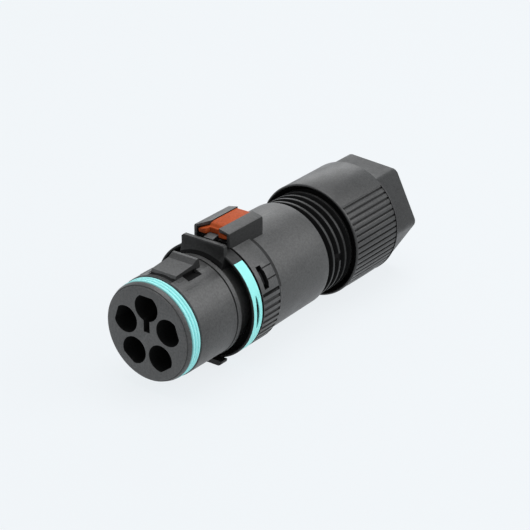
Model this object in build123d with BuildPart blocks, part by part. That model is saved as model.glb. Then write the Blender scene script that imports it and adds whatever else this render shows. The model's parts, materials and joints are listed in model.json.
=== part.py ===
from build123d import *
import os
from math import cos, sin, tan, radians

os.makedirs("parts", exist_ok=True)

# The plug lies along X: its mating face is at x = 0 and the cable leaves towards +X.
# Z is up through the latch, and an angle round the axis runs from +Z towards -Y.
# All lengths are in millimetres and all angles in degrees.

# Mating face and contact chambers
poles = 5
chamber_radius = 4.25
chamber_flat = 3.6
chamber_round = 0.8
chamber_depth = 21.5
chamber_web = 1.1985
key_width = 2.2
key_end = 0.45
face_overlap = 1.5
face_step = 0.4
face_flange = 0.95
insert_wall = 1.35
insert_gap = 0.05

# Front barrel round the insert
rim_wall = 0.35
rim_flare = 0.45
rim_length = 1.5
seal_groove_wall = 0.75
seal_groove_length = 3.75
barrel_wall = 2.67
barrel_length = 16.65
fine_groove_width = 0.4
fine_groove_depth = 0.45
shoulder_rise = 0.18
shoulder_length = 1.5
edge_break = 0.25
corner_share = 0.3
overcut = 1.0

# Neck of the barrel, annular recess and coupling ring
neck_wall = 1.8
neck_gap = 0.05
recess_width = 2.0
recess_mouth_rise = 0.75
recess_flare = 1.5
recess_depth = 2.7
recess_mouth = 2.7
ring_wall = 1.4
ring_length = 4.4
band_depth = 0.4
band_inset = 0.05
band_open_angle = 73.0
band_lip = 0.35
slit_angle = 33.0
slit_centre = 88.3
slit_width = 0.45

# Latch block on the barrel and pockets beside it
latch_front = 8.0
latch_width = 9.1
latch_heights = (0.57, 1.27, 2.37)
latch_nose = 0.47
latch_ramp = 7.55
latch_kick = 2.73
latch_back = 0.55
front_wall_drop = 0.84
pocket_front = 11.3
pocket_length = 6.2
pocket_inner = 3.7
pocket_outer = 6.8
pocket_depth = 1.67
pocket_cover = 0.17
ridge_angle = 33.3
ridge_front = 8.2
ridge_length = 5.6
ledge_angle = 20.3
ledge_length = 2.5
ridge_width = 0.22
ridge_height = 0.15

# Grip plate above the ring and foot below it
plate_width = 15.8
plate_rise = 1.57
plate_thickness = 1.6
plate_lead = 0.5
plate_bevel = 0.28
plate_corner = 0.5
scoop_front = 0.7
scoop_foot_rise = 0.75
scoop_mid_rise = 1.7
scoop_mid_share = 0.55
foot_width = 16.4
foot_drop = 0.3
foot_length = 3.0
foot_lead = 0.5
foot_corner = 1.6

# Spigot behind the ring, with its snap tongues and seal groove
spigot_wall = 1.1
spigot_length = 9.7
skirt_rise = 0.8
skirt_wall = 0.7
snap_height = 1.9
snap_base = 0.2
snap_width = 0.9
snap_angle = 13.0
sleeve_seal_groove = 1.9
sleeve_seal_depth = 1.25
sleeve_seal_setback = 1.0
sleeve_seal_section = 0.62
sleeve_seal_gap = 0.02

# Front seal with three lips
seal_gap = 0.1
seal_crest_drop = 0.27
lip_count = 3
lip_groove_width = 0.3
lip_groove_depth = 0.28
lip_round = 0.3

# Sleeve housing
sleeve_gap = 0.2
knurl_setback = 0.1
knurl_length = 8.9
knurl_chamfer = 1.5
knurl_rise = 0.8
body_taper = 0.4
body_length = 36.0
spigot_clearance = 0.1
body_wall = 1.9
terminal_bore_length = 18.5
throat_step = 1.6
throat_length = 4.0
throat_taper = 2.0
mouth_wall = 1.4
mouth_chamfer = 0.4

# Window and fine grooves of the knurled ring
window_front = 2.4
window_width = 2.2
window_centre = 60.0
window_angle = 23.0
pad_line_angles = (52.3, 63.8)
pad_line_width = 0.4
pad_line_depth = 0.35
knurl_first = 87.6
knurl_step = 6.92
knurl_groove_width = 1.1
knurl_groove_depth = 0.3
knurl_groove_front = 2.0

# External thread of the housing and matching thread of the nut
thread_pitch = 3.2
thread_step = 2.1
thread_height = 1.5
thread_length = 22.5
thread_top = 2.67
thread_turns = 6.7
crest_width = 0.9
flank_clearance = 0.16
thread_sink = 0.2
nut_thread_skip = 4
nut_thread_turns = 4.4
nut_crest_clearance = 0.15
thread_end_chamfer = 0.6
break_angle = 86.0
break_width = 2.4
break_length = 2.56
break_turn = 1
break_floor_gap = 0.05

# Slider housing on top of the sleeve
rail_length = 15.7
rail_width = 13.2
rail_roof = 0.7
rail_side = 3.4
rail_bevel = 0.7
rail_wall = 1.0
rail_sink = 2.0
rail_overhang = 0.6
rail_ring_gap = 0.25
lip_thickness = 1.1
slot_width = 5.5
channel_rise = 0.4
stop_thickness = 1.0
stop_rise = 1.25
lip_cut_length = 3.6
lip_cut_width = 2.4

# Orange release slider
slider_travel = 4.0
slider_gap = 0.1
slider_floor_gap = 1.1
head_rise = 2.0
bar_sink = 0.25
bar_front = 1.2
bar_rear_gap = 0.3
bar_crown = 0.35
notch_half = 1.95
notch_length = 1.7
wing_round = 0.9

# Latch hook under the slider
hook_width = 3.5
hook_thickness = 0.9
hook_nose_length = 2.4
hook_nose_height = 1.3
hook_nose_rear = 1.2
hook_length = 12.0
hook_gap = 0.05

# Contacts and terminals
contact_front = 9.0
contact_radius = 2.75
contact_bore = 1.75
contact_bore_depth = 12.0
contact_slit = 0.5
contact_slit_length = 9.0
collar_radius = 3.3
collar_length = 1.4
shank_radius = 2.45
shank_gap = 0.05
tail_radius = 2.0
pin_radius = 1.55
pin_length = 3.0
spring_ring_thickness = 0.32
spring_ring_length = 2.0
spring_ring_setback = 2.0
block_gap = 0.1
block_side_gap = 0.3
block_length = 15.0
pocket_wall = 3.0
clamp_length = 10.6
clamp_width = 5.6
clamp_height = 5.8
clamp_gap = 0.1
wire_hole = 2.0
screw_radius = 1.5
screw_head_radius = 1.9
screw_head_length = 1.6
screw_length = 4.2
screw_slot = 0.6
driver_hole = 2.1

# Gland nut
nut_front_gap = 13.0
nut_wall = 2.2
collar_length_nut = 23.2
nut_edge_round = 0.5
nut_lip = 0.7
nut_mouth_depth = 3.0
nut_bore_clearance = 0.1
nut_bore_depth = 21.0
hex_inset = 2.8
hex_length = 11.3
hex_corner_round = 2.6
hex_turn = 3.7
cone_step = 2.4
cone_length = 9.0
cone_drop = 3.45
cable_hole_chamfer = 0.6
panel_half_angle = 36.2
panel_depth = 0.2
rib_margin = 2.4
rib_step = 6.0
rib_groove_width = 0.6
rib_groove_depth = 0.4
rib_end_margin = 0.6

# Clamping cage and cable seal
tighten_travel = 9.6
cage_clearance = 0.1
cage_wall = 2.2
cage_front_gap = 0.6
cage_lip = 1.0
cage_thread_gap = 0.2
cage_flange_gap = 0.15
cage_nut_gap = 0.1
finger_count = 10
finger_slot = 1.4
finger_length = 7.5
finger_clearance = 0.35
cable_seal_bore = 6.2
cable_seal_gap = 0.05
cable_seal_lips = 3
cable_seal_lip_height = 0.8
cable_seal_lip_sink = 0.2

# Radii, worked out from the chambers outwards
pole_step = 360.0 / poles
pole_circle = (chamber_radius + chamber_web / 2) / sin(radians(pole_step / 2))
insert_radius = pole_circle + chamber_flat + insert_wall
face_radius = insert_radius + face_overlap
rim_front_radius = face_radius + rim_wall
rim_rear_radius = rim_front_radius + rim_flare
seal_groove_radius = insert_radius + seal_groove_wall
barrel_radius = insert_radius + barrel_wall
pocket_floor = barrel_radius - pocket_depth
pocket_roof = barrel_radius - pocket_cover
seal_crest = barrel_radius - seal_crest_drop
shoulder_radius = barrel_radius + shoulder_rise
neck_radius = insert_radius + neck_wall
recess_radius = neck_radius + recess_width
recess_mouth_radius = recess_radius + recess_mouth_rise
ring_radius = recess_radius + ring_wall
band_floor = ring_radius - band_depth
scoop_foot_radius = neck_radius + scoop_foot_rise
scoop_mid_radius = neck_radius + scoop_mid_rise
plate_height = ring_radius + plate_rise
foot_height = ring_radius + foot_drop
spigot_radius = neck_radius + spigot_wall
spigot_bore = spigot_radius + spigot_clearance
skirt_radius = insert_radius + skirt_rise
sleeve_seal_floor = spigot_radius - sleeve_seal_depth
knurl_radius = ring_radius - knurl_setback
body_front_radius = knurl_radius - knurl_rise
body_rear_radius = body_front_radius - body_taper
terminal_bore = body_rear_radius - body_wall
block_radius = terminal_bore - block_side_gap
thread_core = body_rear_radius - thread_step
thread_crest = thread_core + thread_height
mouth_bore = thread_core - mouth_wall
throat_radius = mouth_bore - throat_step
channel_floor = knurl_radius + channel_rise
slider_floor_z = channel_floor + slider_floor_gap
stop_height = channel_floor + stop_rise
head_shoulder = channel_floor + head_rise
rail_shoulder = channel_floor + rail_side
rail_height = rail_shoulder + rail_roof
nut_bore = thread_crest + nut_bore_clearance
collar_outer = nut_bore + nut_wall
nut_mouth_radius = collar_outer - nut_lip
hex_across_flats = 2 * (collar_outer - hex_inset)
cone_front_radius = nut_bore - cone_step
cable_hole_radius = cone_front_radius - cone_drop
cage_outer = mouth_bore - cage_clearance
cage_inner = cage_outer - cage_wall
cage_flange_radius = thread_core + nut_crest_clearance - cage_thread_gap

# Stations along the axis, worked out from the lengths above
seal_start = face_step + rim_length
seal_end = seal_start + seal_groove_length
barrel_end = seal_end + barrel_length
shoulder_start = barrel_end + fine_groove_width
shoulder_end = shoulder_start + shoulder_length
ring_front = shoulder_end + recess_mouth
recess_floor = ring_front + recess_depth
ring_rear = ring_front + ring_length
spigot_end = ring_rear + spigot_length
band_front = ring_front + band_lip
band_rear = ring_rear
rear_wall_end = ring_rear + skirt_wall
sleeve_front = ring_rear + sleeve_gap
spigot_bore_end = spigot_end + sleeve_gap
knurl_end = sleeve_front + knurl_length
body_end = sleeve_front + body_length
sleeve_end = body_end + thread_length
terminal_bore_end = spigot_bore_end + terminal_bore_length
throat_start = terminal_bore_end + throat_taper
throat_end = throat_start + throat_length
rail_end = sleeve_front + rail_length
window_start = sleeve_front + window_front
window_end = window_start + window_width
nut_front = body_end + nut_front_gap
nut_step = nut_front + nut_bore_depth
collar_end = nut_front + collar_length_nut
nut_end = collar_end + hex_length
base_width = thread_pitch - crest_width - flank_clearance
sunk_width = base_width + thread_sink * (base_width - crest_width) / (thread_crest - thread_core)
thread_first_top = body_end + thread_top
nut_thread_front = thread_first_top + (nut_thread_skip + 0.5) * thread_pitch
cage_front = throat_end + tighten_travel + cage_front_gap
flange_front = sleeve_end + tighten_travel + cage_flange_gap
flange_rear = nut_step - cage_nut_gap
finger_end = flange_rear + finger_length
block_front = rear_wall_end + block_gap
block_rear = spigot_end + block_length
clamp_front = spigot_end + pocket_wall


def radial_plane(angle):
    """Plane through the axis at an angle from the top, with local x along the axis."""
    return Plane(
        origin=(0, 0, 0),
        x_dir=(1, 0, 0),
        z_dir=(0, -cos(radians(angle)), -sin(radians(angle))),
    )


def outline(points, angle=0.0):
    """Closed outline of (x, radius) points in the radial plane at an angle."""
    with BuildSketch(radial_plane(angle)) as face:
        with BuildLine():
            Polyline(*points, close=True)
        make_face()
    return face.sketch


def band(x0, x1, r0, r1, angle=0.0):
    """Rectangle from x0 to x1 and from radius r0 to r1, ready to be turned about the axis."""
    return outline([(x0, r0), (x1, r0), (x1, r1), (x0, r1)], angle)


def cross_section(points, x):
    """Closed outline of (y, z) points in the plane across the axis at x."""
    with BuildSketch(Plane.YZ.offset(x)) as face:
        with BuildLine():
            Polyline(*points, close=True)
        make_face()
    return face.sketch


def box_section(y0, y1, z0, z1, x):
    """Rectangle in the plane across the axis at x."""
    return cross_section([(y0, z0), (y1, z0), (y1, z1), (y0, z1)], x)


def bars(x, angles, radius, width, depth):
    """Small rectangles round a rim, each reaching depth below the radius, for axial grooves."""
    with BuildSketch(Plane.YZ.offset(x)) as face:
        for angle in angles:
            with Locations(Rotation(0, 0, 90 + angle)):
                with Locations((radius, 0)):
                    Rectangle(2 * depth, width)
    return face.sketch


def thread_rib(x, turns, inner, outer, inner_width, outer_width):
    """Profile and path of a right-hand thread rib that starts at the top at x."""
    with BuildLine() as line:
        Helix(thread_pitch, turns * thread_pitch, inner, center=(x, 0, 0), direction=(1, 0, 0))
    path = line.edges()[0]
    with BuildSketch(Plane(origin=path @ 0, x_dir=(0, 0, 1), z_dir=path % 0)) as profile:
        with BuildLine():
            Polyline(
                (0, -inner_width / 2),
                (outer - inner, -outer_width / 2),
                (outer - inner, outer_width / 2),
                (0, inner_width / 2),
                close=True,
            )
        make_face()
    return profile.sketch, path


def pole_plane(index, x):
    """Plane across a pole's own axis, with local x pointing away from the plug's axis."""
    angle = radians(90 + index * pole_step)
    return Plane(
        origin=(x, pole_circle * cos(angle), pole_circle * sin(angle)),
        x_dir=(0, cos(angle), sin(angle)),
        z_dir=(1, 0, 0),
    )


# Contact insert in five equal sectors, each with its share of the face disc, one chamber
# and the bore that holds the contact
for pole in range(poles):
    with BuildPart() as insert_sector:
        revolve(
            outline([
                (0, 0),
                (0, face_radius - edge_break),
                (edge_break, face_radius),
                (face_flange, face_radius),
                (face_flange, insert_radius),
                (rear_wall_end, insert_radius),
                (rear_wall_end, 0),
            ], (pole - 0.5) * pole_step),
            axis=Axis.X,
            revolution_arc=pole_step,
        )
        with BuildSketch(pole_plane(pole, 0)) as chamber:
            Circle(chamber_radius)
            with Locations((chamber_flat + chamber_radius, 0)):
                Rectangle(2 * chamber_radius, 4 * chamber_radius, mode=Mode.SUBTRACT)
            fillet(chamber.vertices(), radius=chamber_round)
        extrude(amount=chamber_depth, mode=Mode.SUBTRACT)
        with BuildSketch(pole_plane(pole, chamber_depth)):
            Circle(shank_radius + shank_gap)
        extrude(amount=rear_wall_end - chamber_depth, mode=Mode.SUBTRACT)
        # Keyway from the top chamber towards the centre
        with BuildSketch(Plane.YZ):
            with Locations((0, (key_end + pole_circle) / 2)):
                Rectangle(key_width, pole_circle - key_end)
        extrude(amount=chamber_depth, mode=Mode.SUBTRACT)
    insert_sector.part.label = f"insert_sector_{pole + 1}"
    export_step(insert_sector.part, f"parts/insert_sector_{pole + 1}.step")

# Front barrel: rim, seal groove, latch block, shoulder and neck round the insert
groove_bottom = barrel_radius - fine_groove_depth
barrel_bore = insert_radius + insert_gap
flange_seat = face_flange + insert_gap
with BuildPart() as front_barrel:
    revolve(
        outline([
            (face_step, face_radius + insert_gap),
            (face_step, rim_front_radius),
            (seal_start - edge_break, rim_rear_radius),
            (seal_start, rim_rear_radius - edge_break),
            (seal_start, seal_groove_radius),
            (seal_end, seal_groove_radius),
            (seal_end, barrel_radius - edge_break),
            (seal_end + edge_break, barrel_radius),
            (barrel_end, barrel_radius),
            (barrel_end, groove_bottom),
            (shoulder_start, groove_bottom),
            (shoulder_start, shoulder_radius),
            (shoulder_end, shoulder_radius),
            (shoulder_end, neck_radius),
            (ring_rear, neck_radius),
            (ring_rear, barrel_bore),
            (flange_seat, barrel_bore),
            (flange_seat, face_radius + insert_gap),
        ]),
        axis=Axis.X,
    )
    # Latch block with a rising ramp and a kick at its rear
    ramp_end = latch_front + latch_nose + latch_ramp
    block_top = ramp_end + latch_kick
    with BuildSketch(Plane.XZ):
        with BuildLine():
            Polyline(
                (latch_front, groove_bottom - overcut),
                (latch_front, barrel_radius + latch_heights[0] - front_wall_drop),
                (latch_front + latch_nose, barrel_radius + latch_heights[0]),
                (ramp_end, barrel_radius + latch_heights[1]),
                (block_top, barrel_radius + latch_heights[2]),
                (block_top + latch_back, barrel_radius),
                (block_top + latch_back, groove_bottom - overcut),
                close=True,
            )
        make_face()
    extrude(amount=latch_width / 2, both=True)
    # Pockets in the barrel beside the latch block
    with BuildSketch(Plane.YZ.offset(pocket_front)):
        for side in (-1, 1):
            with Locations((side * (pocket_inner + pocket_outer) / 2, (pocket_floor + pocket_roof) / 2)):
                Rectangle(pocket_outer - pocket_inner, pocket_roof - pocket_floor)
    extrude(amount=pocket_length, mode=Mode.SUBTRACT)
    # Fine ridges on the barrel beside the pockets
    for angle, length in ((ridge_angle, ridge_length), (ledge_angle, ledge_length)):
        for side in (-1, 1):
            with BuildSketch(Plane.YZ.offset(ridge_front)):
                with Locations(Rotation(0, 0, 90 + side * angle)):
                    with Locations((barrel_radius, 0)):
                        Rectangle(2 * ridge_height, ridge_width)
            extrude(amount=length)
front_barrel.part.label = "front_barrel"
export_step(front_barrel.part, "parts/front_barrel.step")

# Coupling ring: annular recess, colour band seat, grip plate, foot and snap spigot
seal_seat_end = spigot_end - sleeve_seal_setback
seal_seat_start = seal_seat_end - sleeve_seal_groove
ring_bore = neck_radius + neck_gap
with BuildPart() as coupling_ring:
    # Sector behind the shoulder that fills the recess below the grip plate
    plate_front = ring_front - plate_lead
    scoop_x = shoulder_end + scoop_front
    scoop_mid_x = scoop_x + (plate_front - scoop_x) * scoop_mid_share
    revolve(
        outline([
            (scoop_x, ring_bore),
            (scoop_x, scoop_foot_radius),
            (scoop_mid_x, scoop_mid_radius),
            (plate_front, plate_height - 2 * plate_corner),
            (ring_front + recess_depth, plate_height - 2 * plate_corner),
            (ring_front + recess_depth, ring_bore),
        ], -90),
        axis=Axis.X,
        revolution_arc=180,
    )
    with BuildSketch(Plane.XY.offset(-foot_height)):
        with Locations(((scoop_x + recess_floor) / 2, 0)):
            Rectangle(2 * recess_floor, 4 * ring_radius)
            Rectangle(2 * recess_floor, plate_width, mode=Mode.SUBTRACT)
    extrude(amount=2 * plate_height, mode=Mode.SUBTRACT)
    # Grip plate
    with BuildSketch(Plane.YZ.offset(plate_front)):
        with BuildLine():
            Polyline(
                (-plate_width / 2, ring_bore),
                (-plate_width / 2, plate_height - plate_corner),
                (-plate_width / 2 + plate_corner, plate_height),
                (plate_width / 2 - plate_corner, plate_height),
                (plate_width / 2, plate_height - plate_corner),
                (plate_width / 2, ring_bore),
                close=True,
            )
        make_face()
    extrude(amount=plate_thickness)
    chamfer(
        coupling_ring.edges().filter_by(Axis.Y).group_by(Axis.Z)[-1].sort_by(Axis.X)[0],
        length=plate_bevel,
    )
    # Nothing stands above the ring behind the plate
    revolve(
        band(plate_front + plate_thickness, ring_rear + overcut, ring_radius, plate_height + ring_radius),
        axis=Axis.X,
        mode=Mode.SUBTRACT,
    )
    # Ring, spigot and groove for the inner seal
    revolve(
        outline([
            (ring_front, recess_mouth_radius),
            (ring_front, ring_radius - edge_break),
            (ring_front + edge_break, ring_radius),
            (ring_rear, ring_radius),
            (ring_rear, spigot_radius),
            (seal_seat_start, spigot_radius),
            (seal_seat_start, sleeve_seal_floor),
            (seal_seat_end, sleeve_seal_floor),
            (seal_seat_end, spigot_radius),
            (spigot_end, spigot_radius),
            (spigot_end, skirt_radius),
            (ring_rear + neck_gap, skirt_radius),
            (ring_rear + neck_gap, ring_bore),
            (recess_floor, ring_bore),
            (recess_floor, recess_radius),
            (ring_front + recess_flare, recess_radius),
        ]),
        axis=Axis.X,
    )
    # Flat foot below the ring
    foot_rear = ring_front + foot_lead
    with BuildSketch(Plane.YZ.offset(foot_rear)) as foot:
        with BuildLine():
            Polyline(
                (-foot_width / 2, -recess_radius),
                (-foot_width / 2, -foot_height),
                (foot_width / 2, -foot_height),
                (foot_width / 2, -recess_radius),
                close=True,
            )
        make_face()
        fillet(foot.vertices().group_by(Axis.Y)[0], radius=foot_corner)
        Circle(recess_radius, mode=Mode.SUBTRACT)
    extrude(amount=-foot_length)
    # Groove that holds the colour band
    revolve(
        band(band_front, band_rear, band_floor, ring_radius + overcut, band_open_angle / 2),
        axis=Axis.X,
        revolution_arc=360 - band_open_angle,
        mode=Mode.SUBTRACT,
    )
    # Snap tongues that catch in the windows of the sleeve
    for side in (-1, 1):
        snap_start = side * window_centre - snap_angle / 2
        revolve(
            outline([
                (window_start + snap_base, sleeve_seal_floor),
                (window_start + snap_base + snap_width, sleeve_seal_floor),
                (window_start + snap_base + snap_width, spigot_radius + snap_height),
                (window_start + snap_base, spigot_radius + snap_height),
            ], snap_start),
            axis=Axis.X,
            revolution_arc=snap_angle,
        )
coupling_ring.part.label = "coupling_ring"
export_step(coupling_ring.part, "parts/coupling_ring.step")

# Front seal: a soft ring with three lips in the groove behind the rim
lip_pitch = (seal_groove_length - 2 * seal_gap) / lip_count
seal_x0 = seal_start + seal_gap
seal_x1 = seal_end - seal_gap
with BuildPart() as front_seal:
    revolve(
        outline([
            (seal_x0, seal_groove_radius),
            (seal_x0, seal_crest - lip_round),
            (seal_x0 + lip_round, seal_crest),
            (seal_x1 - lip_round, seal_crest),
            (seal_x1, seal_crest - lip_round),
            (seal_x1, seal_groove_radius),
        ]),
        axis=Axis.X,
    )
    for index in range(1, lip_count):
        groove_x = seal_x0 + index * lip_pitch
        revolve(
            band(
                groove_x - lip_groove_width / 2,
                groove_x + lip_groove_width / 2,
                seal_crest - lip_groove_depth,
                seal_crest + overcut,
            ),
            axis=Axis.X,
            mode=Mode.SUBTRACT,
        )
front_seal.part.label = "front_seal"
export_step(front_seal.part, "parts/front_seal.step")

# Colour band: an open ring sprung into its groove, with a fine slit at each side
slit_x = (band_front + band_rear) / 2
with BuildPart() as colour_band:
    revolve(
        band(band_front, band_rear, band_floor, ring_radius - band_inset, band_open_angle / 2),
        axis=Axis.X,
        revolution_arc=360 - band_open_angle,
    )
    for side in (-1, 1):
        revolve(
            band(
                slit_x - slit_width / 2,
                slit_x + slit_width / 2,
                band_floor - edge_break,
                ring_radius + overcut,
                side * slit_centre - slit_angle / 2,
            ),
            axis=Axis.X,
            revolution_arc=slit_angle,
            mode=Mode.SUBTRACT,
        )
colour_band.part.label = "colour_band"
export_step(colour_band.part, "parts/colour_band.step")

# Sleeve housing: knurled ring, slider housing, smooth body and threaded end
rail_half = rail_width / 2
slot_half = slot_width / 2
rail_front = sleeve_front - rail_overhang
channel_half = rail_half - rail_wall
overhang_floor = ring_radius - rail_sink
with BuildPart() as sleeve_housing:
    revolve(
        outline([
            (sleeve_front, 0),
            (sleeve_front, knurl_radius - edge_break),
            (sleeve_front + edge_break, knurl_radius),
            (knurl_end, knurl_radius),
            (knurl_end + knurl_chamfer, body_front_radius),
            (body_end - edge_break, body_rear_radius),
            (body_end, body_rear_radius - edge_break),
            (body_end, thread_core),
            (sleeve_end - thread_end_chamfer, thread_core),
            (sleeve_end, thread_core - thread_end_chamfer),
            (sleeve_end, 0),
        ]),
        axis=Axis.X,
    )
    rail_top = [
        (-rail_half, rail_shoulder - rail_bevel),
        (-rail_half + rail_bevel * corner_share, rail_shoulder - rail_bevel * corner_share),
        (-rail_half + rail_bevel, rail_shoulder),
        (-slot_half, rail_height),
        (slot_half, rail_height),
        (rail_half - rail_bevel, rail_shoulder),
        (rail_half - rail_bevel * corner_share, rail_shoulder - rail_bevel * corner_share),
        (rail_half, rail_shoulder - rail_bevel),
    ]
    rail_foot = body_rear_radius - rail_sink
    extrude(
        cross_section([(-rail_half, rail_foot)] + rail_top + [(rail_half, rail_foot)], sleeve_front),
        amount=rail_length,
    )
    extrude(
        cross_section([(-rail_half, overhang_floor)] + rail_top + [(rail_half, overhang_floor)], sleeve_front),
        amount=-rail_overhang,
    )
    revolve(
        band(rail_front - overcut, sleeve_front, 0, ring_radius + rail_ring_gap),
        axis=Axis.X,
        mode=Mode.SUBTRACT,
    )
    rib, rib_path = thread_rib(
        thread_first_top - thread_pitch,
        thread_turns,
        thread_core - thread_sink,
        thread_crest,
        sunk_width,
        crest_width,
    )
    sweep(sections=rib, path=rib_path, is_frenet=True)
    # Stepped bore: spigot seat, terminal space, throat and gland mouth
    revolve(
        outline([
            (sleeve_front, 0),
            (sleeve_front, spigot_bore),
            (spigot_bore_end, spigot_bore),
            (spigot_bore_end, terminal_bore),
            (terminal_bore_end, terminal_bore),
            (throat_start, throat_radius),
            (throat_end, throat_radius),
            (throat_end, mouth_bore),
            (sleeve_end - mouth_chamfer, mouth_bore),
            (sleeve_end, mouth_bore + mouth_chamfer),
            (sleeve_end, 0),
        ]),
        axis=Axis.X,
        mode=Mode.SUBTRACT,
    )
    # Channel for the slider under the two lips, closed at the rear by a low stop
    extrude(
        box_section(
            -channel_half, channel_half,
            channel_floor, rail_shoulder - lip_thickness / 2, rail_front,
        ),
        amount=rail_end - stop_thickness - rail_front,
        mode=Mode.SUBTRACT,
    )
    extrude(
        box_section(-channel_half, channel_half, overhang_floor, channel_floor, rail_front),
        amount=rail_overhang,
        mode=Mode.SUBTRACT,
    )
    extrude(
        box_section(-slot_half, slot_half, stop_height, rail_height + overcut, rail_front),
        amount=rail_end - rail_front,
        mode=Mode.SUBTRACT,
    )
    # The far lip is cut back at its front corner
    with BuildSketch(Plane.XY.offset(head_shoulder)):
        with BuildLine():
            Polyline(
                (rail_front - overcut, slot_half - overcut),
                (rail_front + lip_cut_length, slot_half - overcut),
                (rail_front + lip_cut_length, slot_half),
                (rail_front, slot_half + lip_cut_width),
                (rail_front - overcut, slot_half + lip_cut_width),
                close=True,
            )
        make_face()
    extrude(amount=rail_height - head_shoulder + overcut, mode=Mode.SUBTRACT)
    # Windows that the snap tongues catch in, with fine lines behind them
    for side in (-1, 1):
        revolve(
            band(
                window_start, window_end, spigot_bore - edge_break, knurl_radius + overcut,
                side * window_centre - window_angle / 2,
            ),
            axis=Axis.X,
            revolution_arc=window_angle,
            mode=Mode.SUBTRACT,
        )
    pad_lines = [side * angle for side in (-1, 1) for angle in pad_line_angles]
    extrude(
        bars(window_end, pad_lines, knurl_radius, pad_line_width, pad_line_depth),
        amount=knurl_end - window_end,
        mode=Mode.SUBTRACT,
    )
    # Axial grooves round the lower part of the knurled ring
    knurl_count = int((360 - 2 * knurl_first) / knurl_step) + 1
    knurl_start = 180 - (knurl_count - 1) * knurl_step / 2
    knurl_angles = [knurl_start + index * knurl_step for index in range(knurl_count)]
    extrude(
        bars(
            sleeve_front + knurl_groove_front, knurl_angles,
            knurl_radius, knurl_groove_width, knurl_groove_depth,
        ),
        amount=knurl_end - sleeve_front - knurl_groove_front,
        mode=Mode.SUBTRACT,
    )
    # Short break in one turn of the thread
    break_x = thread_first_top + (break_turn + break_angle / 360) * thread_pitch
    break_plane = radial_plane(break_angle)
    with BuildSketch(Plane(
        origin=break_plane.y_dir * (thread_core + break_floor_gap),
        x_dir=(1, 0, 0),
        z_dir=break_plane.y_dir,
    )):
        with Locations((break_x, 0)):
            Rectangle(break_length, break_width)
    extrude(amount=thread_crest, mode=Mode.SUBTRACT)
sleeve_housing.part.label = "sleeve_housing"
export_step(sleeve_housing.part, "parts/sleeve_housing.step")

# Release slider: a bar between the lips with a wide head that runs under them
head_half = channel_half - slider_gap
bar_half = slot_half - slider_gap
head_front = rail_front + slider_gap
head_rear = rail_end - stop_thickness - slider_travel - 2 * slider_gap
bar_rear = rail_end - bar_rear_gap
bar_top = rail_height - bar_sink
bar_floor = stop_height + slider_gap
lip_underside = rail_shoulder - lip_thickness / 2
head_top = lip_underside - slider_gap
notch_end = head_front + notch_length
with BuildPart() as release_slider:
    extrude(
        cross_section([
            (-head_half, slider_floor_z),
            (-head_half, head_shoulder),
            (-bar_half, head_top),
            (bar_half, head_top),
            (head_half, head_shoulder),
            (head_half, slider_floor_z),
        ], head_front),
        amount=head_rear - head_front,
    )
    # Rounded outer corners of the two wings
    with BuildSketch(Plane.XY.offset(slider_floor_z)):
        for side in (-1, 1):
            with BuildLine():
                Polyline(
                    (head_front - overcut, side * (head_half + overcut)),
                    (head_front - overcut, side * (head_half - wing_round)),
                    (head_front, side * (head_half - wing_round)),
                    (head_front + wing_round * corner_share, side * (head_half - wing_round * corner_share)),
                    (head_front + wing_round, side * head_half),
                    (head_front + wing_round, side * (head_half + overcut)),
                    close=True,
                )
            make_face()
    extrude(amount=rail_height, mode=Mode.SUBTRACT)
    # Bar with a sloping front
    with BuildSketch(Plane.XZ):
        with BuildLine():
            Polyline(
                (notch_end, head_shoulder),
                (notch_end + bar_front, bar_top - bar_crown),
                (notch_end + 2 * bar_front, bar_top),
                (bar_rear - bar_crown, bar_top),
                (bar_rear, bar_top - bar_crown),
                (bar_rear, bar_floor),
                (notch_end, bar_floor),
                close=True,
            )
        make_face()
    extrude(amount=bar_half, both=True)
    # Notch at the front for the nose of the latch hook
    with BuildSketch(Plane.XY.offset(slider_floor_z)):
        with BuildLine():
            Polyline(
                (head_front - overcut, -notch_half - overcut / 2),
                (head_front, -notch_half - overcut / 2),
                (notch_end, -notch_half),
                (notch_end, notch_half),
                (head_front, notch_half + overcut / 2),
                (head_front - overcut, notch_half + overcut / 2),
                close=True,
            )
        make_face()
    extrude(amount=rail_height, mode=Mode.SUBTRACT)
release_slider.part.label = "release_slider"
export_step(release_slider.part, "parts/release_slider.step")

# Latch hook: a flat tongue on the channel floor with a raised nose in front
hook_floor = channel_floor + hook_gap
hook_tip = sleeve_front - hook_nose_length
nose_rear = head_front + hook_nose_rear
with BuildPart() as latch_hook:
    with BuildSketch(Plane.XZ):
        with BuildLine():
            Polyline(
                (hook_tip, hook_floor),
                (hook_tip + hook_gap, hook_floor + hook_thickness),
                (nose_rear - hook_thickness, hook_floor + hook_nose_height),
                (nose_rear, hook_floor + hook_nose_height),
                (nose_rear, hook_floor + hook_thickness),
                (sleeve_front + hook_length, hook_floor + hook_thickness),
                (sleeve_front + hook_length, hook_floor),
                close=True,
            )
        make_face()
    extrude(amount=hook_width / 2, both=True)
latch_hook.part.label = "latch_hook"
export_step(latch_hook.part, "parts/latch_hook.step")

# Seal between the spigot and the sleeve
with BuildPart() as sleeve_seal:
    seal_centre_x = (seal_seat_start + seal_seat_end) / 2
    with BuildSketch(Plane.XZ):
        with Locations((seal_centre_x, sleeve_seal_floor + sleeve_seal_section + sleeve_seal_gap)):
            Circle(sleeve_seal_section)
    revolve(axis=Axis.X)
sleeve_seal.part.label = "sleeve_seal"
export_step(sleeve_seal.part, "parts/sleeve_seal.step")

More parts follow.
